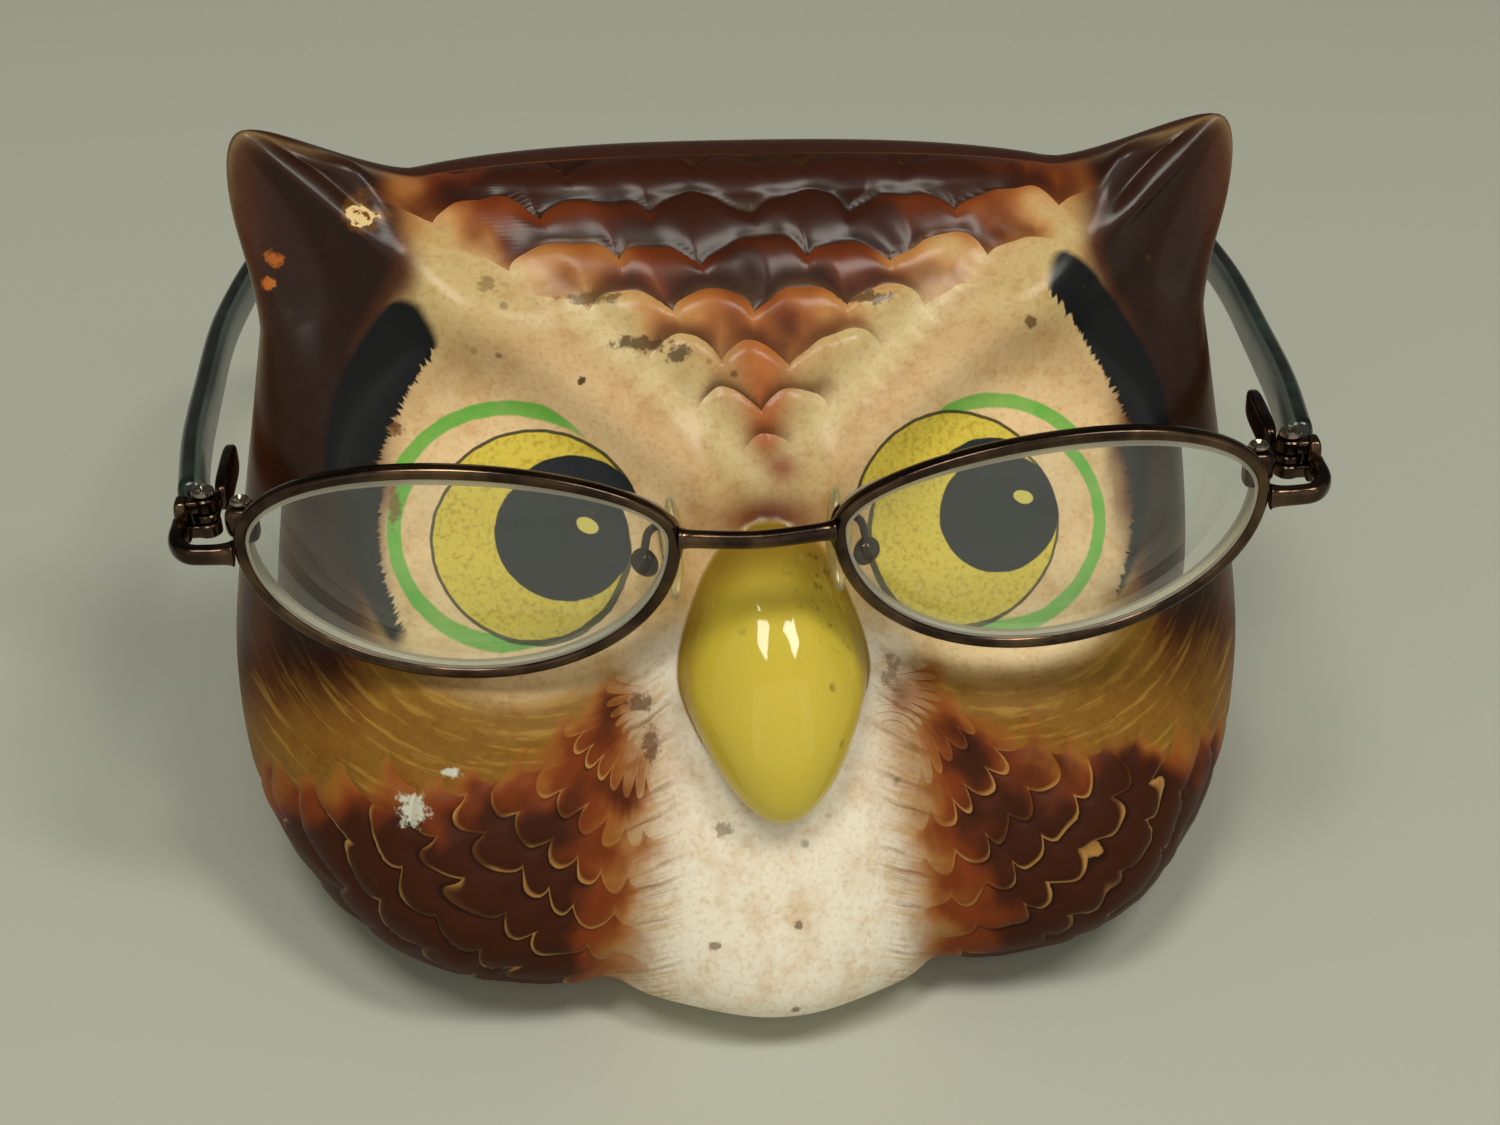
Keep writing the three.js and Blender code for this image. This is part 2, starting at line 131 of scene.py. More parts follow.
def carved(x, y, z, angle, rise):
    """Cheeks, bib, beak, eye dishes, brows and ears: smooth pushes added to the plain head."""
    side, out = np.sign(x), np.abs(x)
    face = rising(-0.1, 0.35, np.cos(angle)) * rising(0.11, 0.17, rise)
    push = np.zeros((3,) + x.shape)

    def add(amount, dx, dy, dz):
        push[0] += amount * dx
        push[1] += amount * dy
        push[2] += amount * dz

    add(face * bell((out - 36) / 18, (z - 18) / 17), side * 2, -8.5, -0.5)
    add(face * bell(x / 17) * (1 - rising(6, 36, z)), 0, -10, 0)
    valley = 11 + 9 * np.clip((40 - z) / 38, 0, 1) ** 1.2
    add(face * bell((out - valley) / 3) * (1 - rising(32, 40, z)), 0, 2, 0)
    beak = beak_field(x, z)
    inside_beak = np.clip(beak, 0, 1)
    lump = inside_beak ** 1.7 / (inside_beak + 0.05) ** 1.08
    add(face * lump, 0, -13, -3.2 * (1 - rising(-12, 10, z - BEAK_Z)))
    dish = np.hypot(out - EYE_X, (z - EYE_Z) * 1.12) / 21
    add(face * (1 - rising(0.45, 1, dish)), 0, 3.2, -1.5)
    above_brow = (z - 55 - (out - 3) * 0.55) * 0.87
    add(face * bell(above_brow / 4.2) * rising(0, 8, out) * (1 - rising(48, 56, out)), 0, -2.6, 1.4)
    add(face * rising(0, 10, above_brow) * bell(x / 30) * (1 - rising(74, 84, z)), 0, -2, 1.2)
    from_tip = np.sqrt(((out - 54) / 17) ** 2 + ((z - 78) / 15) ** 2 + ((y - 14) / 17) ** 2)
    add(np.clip(1 - from_tip, 0, 1) ** 1.5, side * 9, 2, 16)
    add(face * bell((out - 49) / 7, (z - 71) / 8), 0, 4, -1)
    return x + push[0], y + push[1], np.maximum(z + push[2], 0), face, beak


COLUMNS = 440
turn = np.linspace(-math.pi, math.pi, COLUMNS, endpoint=False)
column = turn - 0.45 * np.sin(turn)          # the columns stand closer together on the face
inner_rise = np.linspace(0.97, 0, 18)
outer_rise = np.concatenate([
    np.linspace(0, 0.10, 6, endpoint=False), np.linspace(0.10, 0.16, 10, endpoint=False),
    np.linspace(0.16, 0.74, 124, endpoint=False), np.linspace(0.74, 0.995, 56)])
inside = np.stack(plain_head(*np.meshgrid(column, inner_rise), WALL, FLOOR), -1)
angle, rise = np.meshgrid(column, outer_rise)
x, y, z, face, beak = carved(*plain_head(angle, rise, 0.0, 0.0), angle, rise)
skin = np.stack([x, y, z], -1)

# ------------------------------------------------------------------ owl shell: feather relief
# The mould is carved with rows of overlapping feathers that radiate from the beak. Glaze rounds
# every edge, so a feather is a soft pillow that rises to its free edge and drops to the next.
across = np.abs(x)
up_face = z * math.cos(FACE_LEAN) + y * math.sin(FACE_LEAN)      # height up the leaning face


def feathers(u, v, arch):
    """Rows of scales with free edges towards +v: row j ends at v = j + arch (1 - |2s|^2.4), and
    every second row is moved half a scale. Returns how many rows a point lies past the edge
    behind it and short of the edge ahead."""
    part = v - np.floor(v)
    shift = 0.5 * (np.floor(v) % 2)
    own = arch * (1 - np.abs(2 * ((u + shift) % 1) - 1) ** 2.4)
    other = arch * (1 - np.abs(2 * ((u + shift + 0.5) % 1) - 1) ** 2.4)
    passed = part > own
    return np.where(passed, part - own, 1 + part - other), np.where(passed, 1 + other - part, own - part)


def pillow(past, short):
    """Height of a scale: (1 - e^(-past/0.3)) (1 - e^(-short/0.16)), fullest near its free edge."""
    share = past / (past + short)
    return (1 - np.exp(-past / 0.3)) * (1 - np.exp(-short / 0.16)) * (0.55 + 0.45 * share)


wobble = 0.13 * np.sin(0.31 * x + 1.3) * np.sin(0.27 * up_face + 0.4) + 0.05 * np.sin(0.9 * x + 0.6 * up_face)
brow_line = 36.5 + 0.98 * across                   # the white ridge from beak to ear
crown_u = x / (0.19 * np.maximum(up_face - 5, 20)) + wobble
crown_v = (up_face - 45.2) / 5.7 + wobble
in_crown = face * rising(-1.5, 3.5, up_face - 38.5 - across) * rising(36, 43, up_face)

reach_out = np.hypot(across - 13, np.minimum(y + 33, 60))
drop = z - 39
radius = np.hypot(reach_out, drop)
around = rising(-0.35, 0.05, np.cos(angle))
cheek_u = np.arctan2(drop, reach_out) / 0.150 + wobble * 2
cheek_v = radius / 4.9 + wobble
in_cheek = around * rising(0.12, 0.2, rise) * rising(11, 20, radius) * rising(16.5, 23, across) \
    * (1 - rising(0, 8, up_face - 3 - 9 * bell((across - 16) / 8)))

ear_line = (up_face - 70) - 0.93 * (across - 44)   # the fold inside the ear, root to tip
on_ear = face * rising(40, 46, across) * rising(60, 66, up_face)
ear_fold = on_ear * (1.1 * bell((ear_line - 3.2) / 1.4) - 1.3 * bell(ear_line / 2.0)
                     + 0.8 * bell((ear_line + 3.4) / 1.3))
barbs = np.sin(1.5 * across + 1.9 * up_face + 0.7 * np.sin(0.4 * across))
brow_barbs = face * bell((up_face - brow_line + 1.2) / 1.9) * rising(6, 12, across) \
    * (1 - rising(36, 44, across))
bib = face * bell(across / 15) * (1 - rising(12, 24, z)) * rising(0.16, 0.2, rise)
crest = face * bell((across - 22 - 0.2 * up_face) / 9, (up_face - 12 + 0.12 * across) / 1.3)
relief = 0.80 * in_crown * (1 - 0.4 * rising(66, 76, up_face)) \
    * (pillow(*feathers(crown_u, crown_v, 0.44)) - 0.4)
relief += 0.65 * in_cheek * (pillow(*feathers(cheek_u, cheek_v, 0.42)) - 0.4)
relief += ear_fold + 0.07 * barbs * brow_barbs + 0.35 * crest
relief += 0.12 * bib * (pillow(*feathers(x / 8.5 + 0.3, (22 - z) / 7, 0.35)) - 0.4)

down_rows = np.gradient(skin, axis=0)
along_columns = (np.roll(skin, -1, 1) - np.roll(skin, 1, 1)) / 2
normal = np.cross(along_columns, down_rows)
normal /= np.linalg.norm(normal, axis=-1, keepdims=True) + 1e-9
skin = skin + relief[..., None] * normal * rising(0.11, 0.17, rise)[..., None]
skin[..., 2] = np.maximum(skin[..., 2], 0)

# ------------------------------------------------------------------ owl shell: airbrushed paint
# Underglaze colours sprayed with soft edges over a cream body, darkest on ears, sides and cheeks;
# the feather edges are rubbed back; the creases are dark with pooled glaze and painted shade.


def linear(hex_code):
    """An sRGB hex colour as linear red, green, blue."""
    srgb = np.array([int(hex_code[i:i + 2], 16) for i in (1, 3, 5)]) / 255
    return np.where(srgb <= 0.04045, srgb / 12.92, ((srgb + 0.055) / 1.055) ** 2.4)


paint = np.tile(linear("#c9b17a"), x.shape + (1,))


def spray(hex_code, cover):
    """Lays one colour over the paint, as strong as cover says at each point."""
    global paint
    cover = np.clip(cover, 0, 1)[..., None]
    paint = paint * (1 - cover) + linear(hex_code) * cover


cloud = (np.sin(0.35 * x + 0.9 * np.sin(0.21 * up_face)) * np.sin(0.29 * up_face + 1.7)
         + 0.6 * np.sin(0.83 * x + 1.9) * np.sin(0.71 * up_face + 0.8 * np.sin(0.5 * x)))
from_eye = np.hypot(across - 27.5, up_face - 33)
away = 1 - rising(0.0, 0.5, face)
spray("#eecfa0", face * (1 - rising(15, 25, from_eye)) * 0.85)
spray("#b98d5e", face * bell((from_eye - 20) / 2.5) * rising(20, 30, up_face) * 0.30)
spray("#c9a678", face * bell((up_face - brow_line + 3.0) / 1.6) * rising(6, 12, across)
      * (1 - rising(34, 42, across)) * (0.4 + 0.25 * barbs))
spray("#dfd0a0", face * bell((up_face - brow_line - 1.0) / 3.0) * (1 - rising(36, 42, across)) * 0.6)

# the stripe down to the beak; the crown's brown itself follows the feathers in the material
brown_depth = up_face - (53.0 + 0.44 * across + 1.3 * cloud)
spray("#4a2010", rising(0, 6, brown_depth) * rising(45, 55, up_face))
stripe = face * rising(38, 42, up_face) * (1 - rising(58, 64, up_face))
spray("#a8551f", stripe * bell(x / (2.2 + 0.30 * np.clip(up_face - 42, 0, 20))) * 0.9)
spray("#8d3f26", face * bell((x - 1.8) / 2.0, (up_face - 38.5) / 1.6) * 0.9)
spray("#8c4612", face * bell(x / 6.5, (up_face - 32.4) / 2.8))
spray("#521f0a", face * bell(x / 3.8, (up_face - 32.8) / 2.2) * 0.9)

# olive ochre sweep under the eyes
under_eye = face * rising(17.0, 21.5, from_eye + 0.4 * cloud) * (1 - rising(20, 30, up_face)) \
    * rising(9, 15, across)
spray("#84611f", under_eye * 0.97)
spray("#7a4d1a", under_eye * rising(20.5, 27, from_eye + 0.5 * cloud) * 0.35)
spray("#9a7434", face * bell((across - 12) / 4, (up_face - 20) / 8) * 0.45)

# white bib with painted shade in its valleys, cream foot
bib_cover = face * (1 - rising(13, 20, across + 0.03 * (up_face + 20))) * (1 - rising(16, 24, up_face))
spray("#efead8", bib_cover * 0.9)
valley_line = 11 + 9 * np.clip((40 - z) / 38, 0, 1) ** 1.2
spray("#b5895a", face * bell((across - valley_line - 2.0) / 3.2) * (1 - rising(30, 40, z)) * 0.6)

# cheeks: how deep the brown is at each point, shared with the material for the feather edges
cheek_depth = (across - 17.5 + 0.10 * (up_face + 4) + 0.9 * cloud) / 6
cheek_depth = np.minimum(cheek_depth, (4.5 + 10 * bell((across - 17) / 7) - up_face + 1.2 * cloud) / 4.5)
cheek_cover = around * rising(0.11, 0.17, rise)
cheek_depth = np.where(cheek_cover > 0, cheek_depth, -4)

# ears, sides and back
rim_line = 42.5 + 0.10 * np.abs(up_face - 45) - 6.3 * rising(52, 64, up_face) + 0.7 * cloud
side_cover = np.maximum(face * rising(-2.2, 2.2, across - rim_line) * rising(8, 20, up_face), away)
spray("#5a2a12", side_cover * 0.97)
spray("#1c0f08", face * rising(0.0, 4.5, across - rim_line) * rising(10, 22, up_face) * 0.92)
spray("#2a150a", away * rising(8, 40, z) * 0.75)
spray("#33180b", on_ear * 0.5)
spray("#6e3015", away * (1 - rising(20, 60, z)) * (0.5 + 0.3 * cloud) * 0.55)
spray("#6a3517", face * bell((across - 58) / 2.5) * rising(10, 20, up_face) * 0.35)
spray("#ebe4cc", (1 - rising(0.145, 0.20, rise)) * 0.9)

# ------------------------------------------------------------------ owl shell: mesh


def mesh_object(name, points, faces):
    """Millimetre points and index faces as a smooth object at the origin."""
    mesh = bpy.data.meshes.new(name)
    mesh.from_pydata((np.asarray(points) * MM).tolist(), [], faces)
    mesh.polygons.foreach_set("use_smooth", np.ones(len(mesh.polygons), dtype=bool))
    mesh.update()
    made = bpy.data.objects.new(name, mesh)
    bpy.context.scene.collection.objects.link(made)
    return made


def grid_faces(rows, columns, first=0, wrap=True, flip=False):
    """Quads between neighbouring rows of a grid of points, round the columns if wrap is set."""
    index = np.arange(rows * columns).reshape(rows, columns) + first
    if wrap:
        index = np.concatenate([index, index[:, :1]], 1)
    quads = np.stack([index[:-1, :-1], index[:-1, 1:], index[1:, 1:], index[1:, :-1]], -1).reshape(-1, 4)
    return (quads[:, ::-1] if flip else quads).tolist()


def fan(ring, pole, flip=False):
    """Triangles from a ring of points to a pole."""
    ring = np.asarray(ring)
    after = np.roll(ring, -1)
    tris = np.stack([ring, after, np.full(len(ring), pole)], -1)
    return (tris[:, ::-1] if flip else tris).tolist()


shell = np.concatenate([inside.reshape(-1, 3), skin.reshape(-1, 3)])
rows = len(inner_rise) + len(outer_rise)
inner_pole = [0, inside[0, :, 1].mean(), inside[0, :, 2].mean() + 0.05]
outer_pole = [0, skin[-1, :, 1].mean(), skin[-1, :, 2].mean() + 0.01]
points = np.concatenate([shell, [inner_pole, outer_pole]])
last_ring = np.arange(COLUMNS) + (rows - 1) * COLUMNS
faces = grid_faces(rows, COLUMNS) + fan(np.arange(COLUMNS), len(shell), flip=True)
faces += fan(last_ring, len(shell) + 1)
owl = mesh_object("owl_shell", points, faces)

lining = np.tile(linear("#d8cdb4"), (len(inside.reshape(-1, 3)), 1))
colours = np.concatenate([lining, paint.reshape(-1, 3), lining[:1], paint[-1, :1]])
layer = owl.data.attributes.new("paint", "FLOAT_COLOR", "POINT")
layer.data.foreach_set("color", np.column_stack([colours, np.ones(len(colours))]).ravel())
inner_zero = np.zeros(len(lining))
crown_cover = rising(0, 0.3, face) * rising(-1, 1, up_face - 40) \
    * (1 - rising(-1.5, 2.5, across - rim_line - 1.0))
for label, field in (("face", face), ("glazed", rising(0.03, 0.1, rise)),
                     ("beak", np.where(face > 0.9, beak, -1)),
                     ("crown_u", crown_u), ("crown_v", crown_v), ("crown_depth", brown_depth),
                     ("crown", crown_cover), ("crown_relief", in_crown), ("cheek_u",
                                                                          cheek_u), ("cheek_v", cheek_v),
                     ("cheek_depth", cheek_depth), ("cheek", cheek_cover), ("cheek_relief", in_cheek)):
    layer = owl.data.attributes.new(label, "FLOAT", "POINT")
    layer.data.foreach_set("value", np.concatenate([inner_zero, field.ravel(), [0.0, field[-1, 0]]]))

# ------------------------------------------------------------------ owl shell: glaze material
# Glazed earthenware: matt coloured body under a thick clear glaze, so sharp window reflections
# over soft colour. The eyes and brow patches are decals and brush strokes with crisp edges.


def add_node(tree, kind, settings=None, **links):
    """Adds a node; settings are properties, links are input values or output sockets by name."""
    node = tree.nodes.new(kind)
    for key, value in (settings or {}).items():
        setattr(node, key, value)
    for key, value in links.items():
        by_number = key[0] == "_" and key[1:].isdigit()
        socket = node.inputs[int(key[1:]) if by_number else key.replace("_", " ")]
        if isinstance(value, bpy.types.NodeSocket):
            tree.links.new(value, socket)
        else:
            socket.default_value = value
    return node


def new_material(name):
    """A material with an empty node tree, and its output node."""
    made = bpy.data.materials.new(name)
    made.use_nodes = True
    made.node_tree.nodes.clear()
    return made, made.node_tree, made.node_tree.nodes.new("ShaderNodeOutputMaterial")


def rgba(hex_code):
    """An sRGB hex colour as a linear colour socket value."""
    return (*linear(hex_code), 1.0)


glaze, tree, output = new_material("glazed_earthenware")
place = add_node(tree, "ShaderNodeTexCoord").outputs["Object"]
shaky = add_node(tree, "ShaderNodeTexNoise", Vector=place, Scale=420.0, Detail=2.0).outputs["Color"]
shake = add_node(tree, "ShaderNodeVectorMath", {"operation": "MULTIPLY_ADD"}, _0=shaky,
                 _1=(0.00035,) * 3, _2=(-0.000175,) * 3).outputs[0]
hand = add_node(tree, "ShaderNodeVectorMath", {"operation": "ADD"}, _0=place, _1=shake).outputs[0]
tipped = add_node(tree, "ShaderNodeMapping", Vector=hand, Rotation=(FACE_LEAN, 0, 0),
                  Scale=(1000, 1000, 1000)).outputs[0]
split = add_node(tree, "ShaderNodeSeparateXYZ", Vector=tipped)


def calc(operation, *values):
    """One Math node on the glaze's tree."""
    node = tree.nodes.new("ShaderNodeMath")
    node.operation = operation
    for socket, value in zip(node.inputs, values):
        if isinstance(value, bpy.types.NodeSocket):
            tree.links.new(value, socket)
        else:
            socket.default_value = value
    return node.outputs[0]


def smooth_step(low, high, value):
    """0 to 1 as value goes from low to high, or 1 to 0 where high is below low."""
    if high < low:
        return calc("SUBTRACT", 1.0, smooth_step(high, low, value))
    return add_node(tree, "ShaderNodeMapRange", {"interpolation_type": "SMOOTHSTEP"}, Value=value,
                    From_Min=low, From_Max=high).outputs[0]


def distance(px, qy, cx, cy):
    """Distance in the plane of the face from a centre."""
    dx = calc("SUBTRACT", px, cx)
    dy = calc("SUBTRACT", qy, cy)
    return calc("SQRT", calc("ADD", calc("MULTIPLY", dx, dx), calc("MULTIPLY", dy, dy)))


def over(under, hex_code, cover):
    """Lays a flat colour over another by a mask."""
    mix = add_node(tree, "ShaderNodeMix", {"data_type": "RGBA"})
    tree.links.new(cover, mix.inputs[0])
    tree.links.new(under, mix.inputs[6])
    mix.inputs[7].default_value = rgba(hex_code)
    return mix.outputs[2]


def field(name):
    """One of the shell's own point values."""
    return add_node(tree, "ShaderNodeAttribute", {"attribute_name": name}).outputs["Fac"]


def feather_nodes(u, v, arch):
    """The same rows of scales as the relief, worked out at every shaded point."""
    part = calc("FRACT", v)
    shift = calc("MULTIPLY", calc("FRACT", calc("MULTIPLY", calc("FLOOR", v), 0.5)), 1.0)
    reach = []
    for extra in (0.0, 0.5):
        place_in = calc("FRACT", calc("ADD", calc("ADD", u, shift), extra))
        off = calc("ABSOLUTE", calc("MULTIPLY_ADD", place_in, 2.0, -1.0))
        reach.append(calc("MULTIPLY_ADD", calc("POWER", off, 2.4), -arch, arch))
    own, other = reach
    passed = calc("GREATER_THAN", part, own)
    waiting = calc("SUBTRACT", 1.0, passed)
    past = calc("ADD", calc("SUBTRACT", part, calc("MULTIPLY", own, passed)),
                calc("MULTIPLY", calc("SUBTRACT", 1.0, other), waiting))
    short = calc("ADD", calc("MULTIPLY", calc("ADD", calc("SUBTRACT", 1.0, part), other), passed),
                 calc("MULTIPLY", calc("SUBTRACT", own, part), waiting))
    return past, short, calc("DIVIDE", past, calc("ADD", past, short))


def stain(under, hex_code, cover):
    """Darkens a colour by a transparent tint where the mask says."""
    mix = add_node(tree, "ShaderNodeMix", {"data_type": "RGBA", "blend_type": "MULTIPLY"})
    tree.links.new(cover, mix.inputs[0])
    tree.links.new(under, mix.inputs[6])
    mix.inputs[7].default_value = rgba(hex_code)
    return mix.outputs[2]


def times(*values):
    """Product of several values."""
    total = values[0]
    for value in values[1:]:
        total = calc("MULTIPLY", total, value)
    return total


def noise(vector, scale, detail=3.0, roughness=0.55):
    """Fractal noise, 0 to 1."""
    return add_node(tree, "ShaderNodeTexNoise", Vector=vector, Scale=scale, Detail=detail,
                    Roughness=roughness).outputs["Fac"]


SOFT = 0.10                                     # width of a decal's printed edge, mm
p, q = split.outputs["X"], split.outputs["Z"]
out = calc("ABSOLUTE", p)
on_face = smooth_step(0.35, 0.6, field("face"))
colour = add_node(tree, "ShaderNodeAttribute", {"attribute_name": "paint"}).outputs["Color"]

# body colour is uneven: the glaze is thicker in some places, and it has taken up a brown tinge
mottle = noise(place, 260.0, 5.0, 0.62)
colour = stain(colour, "#d8b276", times(smooth_step(0.42, 0.75, mottle), 0.5))
fine = noise(place, 1500.0, 3.0, 0.6)
colour = stain(colour, "#c9a774", times(smooth_step(0.45, 0.72, fine), 0.3))

# brush streaks sweep round under the eye
eye_r = distance(out, q, 27.5, 33.0)
eye_turn = calc("ARCTAN2", calc("SUBTRACT", q, 33.0), calc("SUBTRACT", out, 27.5))
sweep = add_node(tree, "ShaderNodeCombineXYZ", X=calc("MULTIPLY", eye_r, 0.55),
                 Y=calc("MULTIPLY", eye_turn, 1.5)).outputs[0]
streaks = noise(sweep, 1.6, 3.0, 0.6)
below = times(smooth_step(17.5, 21.0, eye_r), smooth_step(24.0, 12.0, q), smooth_step(10.0, 15.0, out),
              on_face)
colour = over(colour, "#7c5820", times(below, smooth_step(0.50, 0.68, streaks), 0.75))
colour = over(colour, "#b08a3c", times(below, smooth_step(0.48, 0.34, streaks), 0.55))

# crown: orange where the spray thins, then red brown, then near black; darker towards each crease,
# partly brown pooled in the glaze and partly painted shade
crown = field("crown")
depth = field("crown_depth")
past, short, share = feather_nodes(field("crown_u"), field("crown_v"), 0.44)
shade = smooth_step(0.95, 0.1, share)
patchy = calc("MULTIPLY_ADD", noise(place, 95.0, 3.0), 7.0, -3.5)
for hex_code, strength, creep, first, last in (("#c07a36", 0.8, 3.0, -3.5, 2.0),
                                               ("#7a3312", 0.95, 4.0, -1.0, 5.5),
                                               ("#2a1208", 0.93, 8.0, 2.5, 12.0)):
    crept = calc("ADD", calc("MULTIPLY_ADD", shade, creep, depth), patchy)
    colour = over(colour, hex_code, times(crown, strength, smooth_step(first, last, crept)))
# the crease where one feather tucks under the next: pooled glaze with grime, and painted shade
crease = times(smooth_step(0.26, 0.0, past), smooth_step(-0.02, 0.02, past))
grime_and_crease_shade = smooth_step(0.38, 0.60, noise(place, 120.0, 3.0))
crown_ridges = field("crown_relief")
near_v = times(smooth_step(30.0, 16.0, out), crown_ridges, crown)
# painted shade over the part of each feather next to the crease behind it, and in the crease itself
colour = stain(colour, "#8a5a28", times(near_v, smooth_step(0.5, 0.0, past), 0.5))
colour = over(colour, "#54350f", times(near_v, crease, calc("MULTIPLY_ADD", grime_and_crease_shade, 0.75, 0.12)))
colour = over(colour, "#140b06", times(crown, smooth_step(2.0, 8.0, depth), crease, 0.65))
crown_height = calc("MULTIPLY", times(calc("SUBTRACT", 1.0, calc("EXPONENT", calc("MULTIPLY", past, -5.0))),
                                      calc("SUBTRACT", 1.0,
                                           calc("EXPONENT", calc("MULTIPLY", short, -9.0)))), crown_ridges)

# cheeks: red brown and near black, each feather's free edge rubbed back to gold; painted shade
# darkens each feather towards the crease behind it
cheek = field("cheek")
depth = field("cheek_depth")
past, short, share = feather_nodes(field("cheek_u"), field("cheek_v"), 0.42)
shade = smooth_step(0.9, 0.15, share)
edged = calc("MULTIPLY_ADD", shade, 0.35,
             calc("ADD", depth, calc("MULTIPLY_ADD", noise(place, 150.0, 3.0), 1.4, -0.7)))
colour = over(colour, "#a5642a", times(cheek, 0.75, smooth_step(-0.3, 0.4, edged)))
colour = over(colour, "#743415", times(cheek, 0.97, smooth_step(-0.1, 0.7, edged)))
dark = smooth_step(0.3, 1.35,
                   calc("MULTIPLY_ADD", calc("SUBTRACT", noise(place, 75.0, 2.0), 0.5), 3.4, edged))
colour = over(colour, "#35190d", times(cheek, dark, 0.93))
gold = times(smooth_step(-0.01, 0.02, short), smooth_step(0.15, 0.03, short), smooth_step(0.5, 0.8, share),
             smooth_step(0.1, 0.6, depth), cheek)
rubbed = calc("MULTIPLY_ADD", smooth_step(0.42, 0.58, noise(place, 130.0, 2.0)), 0.72, 0.10)
colour = over(colour, "#b98a4a", times(gold, rubbed))
# near black in each crease where the brown is deep: pooled glaze and painted shade
colour = over(colour, "#120a06",
              times(cheek, smooth_step(0.3, 1.0, depth), smooth_step(0.13, 0.0, past), 0.75))
cheek_height = times(calc("SUBTRACT", 1.0, calc("EXPONENT", calc("MULTIPLY", past, -5.0))),
                     calc("SUBTRACT", 1.0,
                          calc("EXPONENT", calc("MULTIPLY", short, -9.0))), field("cheek_relief"))

# beak: yellow, browned at its edge and root
beak_line = field("beak")
colour = over(colour, "#8d6c20", smooth_step(-0.07, 0.0, beak_line))
colour = over(colour, "#cdb93e", smooth_step(-0.01, 0.05, beak_line))
colour = over(colour, "#8a6716",
              times(smooth_step(0.0, 0.02, beak_line), smooth_step(0.34, 0.03, beak_line), 0.75))
colour = over(colour, "#7e6317", times(smooth_step(0.0, 0.02, beak_line), smooth_step(20.0, 31.0, q), 0.8))
dirt = times(smooth_step(0.0, 0.1, beak_line), smooth_step(12.0, 26.0, q), smooth_step(-1.0, 7.0, p))
colour = over(colour, "#4f3c10", times(dirt, smooth_step(0.56, 0.66, noise(place, 700.0, 4.0, 0.7)), 0.75))

# eyes: a printed decal of green ring, yellow iris and pupil; the two are not quite alike
EYES = (dict(ring=(-29.4, 33.2), ring_radius=13.4, iris=(-26.1, 31.8), iris_radius=12.1,
             pupil=(-21.9, 32.5), pupil_radius=8.4, dot=(-18.6, 33.6), dot_size=(1.3, 1.15)),
        dict(ring=(27.6, 32.0), ring_radius=13.7, iris=(22.5, 31.6), iris_radius=12.8,
             pupil=(27.2, 33.1), pupil_radius=8.3, dot=(30.4, 35.0), dot_size=(1.35, 1.0)))
for side, eye in zip((-1, 1), EYES):
    ring_distance = distance(p, q, *eye["ring"])
    ring_side = calc("DIVIDE", calc("SUBTRACT", calc("MULTIPLY", p, side), side * eye["ring"][0]),
                     ring_distance)
    ring_width = calc("MULTIPLY", smooth_step(-0.82, -0.25, ring_side), 0.80)
    ring_off = calc("ABSOLUTE", calc("SUBTRACT", ring_distance, eye["ring_radius"]))
    ring = smooth_step(SOFT * 1.6, -SOFT, calc("SUBTRACT", ring_off, ring_width))
    washy = calc("MULTIPLY_ADD", mottle, 0.5, 0.62)
    colour = over(colour, "#58b23c", times(ring, on_face, smooth_step(-0.80, -0.55, ring_side), washy))
    eye_distance = distance(p, q, *eye["iris"])
    iris = smooth_step(eye["iris_radius"] + SOFT, eye["iris_radius"] - SOFT, eye_distance)
    colour = over(colour, "#dac548", times(iris, on_face, 0.97))
    colour = stain(colour, "#b59a5c", times(iris, on_face, smooth_step(0.45, 0.7, fine), 0.5))
    reach_low = calc("SUBTRACT", side * eye["iris"][0] + eye["iris"][1],
                     calc("ADD", q, calc("MULTIPLY", p, side)))
    line_width = calc("MULTIPLY_ADD", smooth_step(5.0, 17.0, reach_low), 0.17, 0.16)
    line_off = calc("ABSOLUTE", calc("SUBTRACT", eye_distance, eye["iris_radius"]))
    outline = smooth_step(SOFT, -SOFT * 0.3, calc("SUBTRACT", line_off, line_width))
    colour = over(colour, "#20261a", times(outline, on_face, 0.9))
    black = smooth_step(eye["pupil_radius"] + SOFT, eye["pupil_radius"] - SOFT, distance(p, q, *eye["pupil"]))
    black = times(black, smooth_step(eye["iris_radius"] + 0.3, eye["iris_radius"] + 0.1, eye_distance),
                  on_face)
    colour = over(colour, "#1b2226", black)
    along = calc("MULTIPLY_ADD", calc("SUBTRACT", q, eye["dot"][1]), 0.35, calc("SUBTRACT", p, eye["dot"][0]))
    upward = calc("DIVIDE", calc("SUBTRACT", q, eye["dot"][1]), eye["dot_size"][1] / eye["dot_size"][0])
    spot = calc("SQRT", calc("ADD", calc("MULTIPLY", along, along), calc("MULTIPLY", upward, upward)))
    colour = over(colour, "#d3c765",
                  times(smooth_step(eye["dot_size"][0] + SOFT, eye["dot_size"][0] - SOFT, spot), on_face))

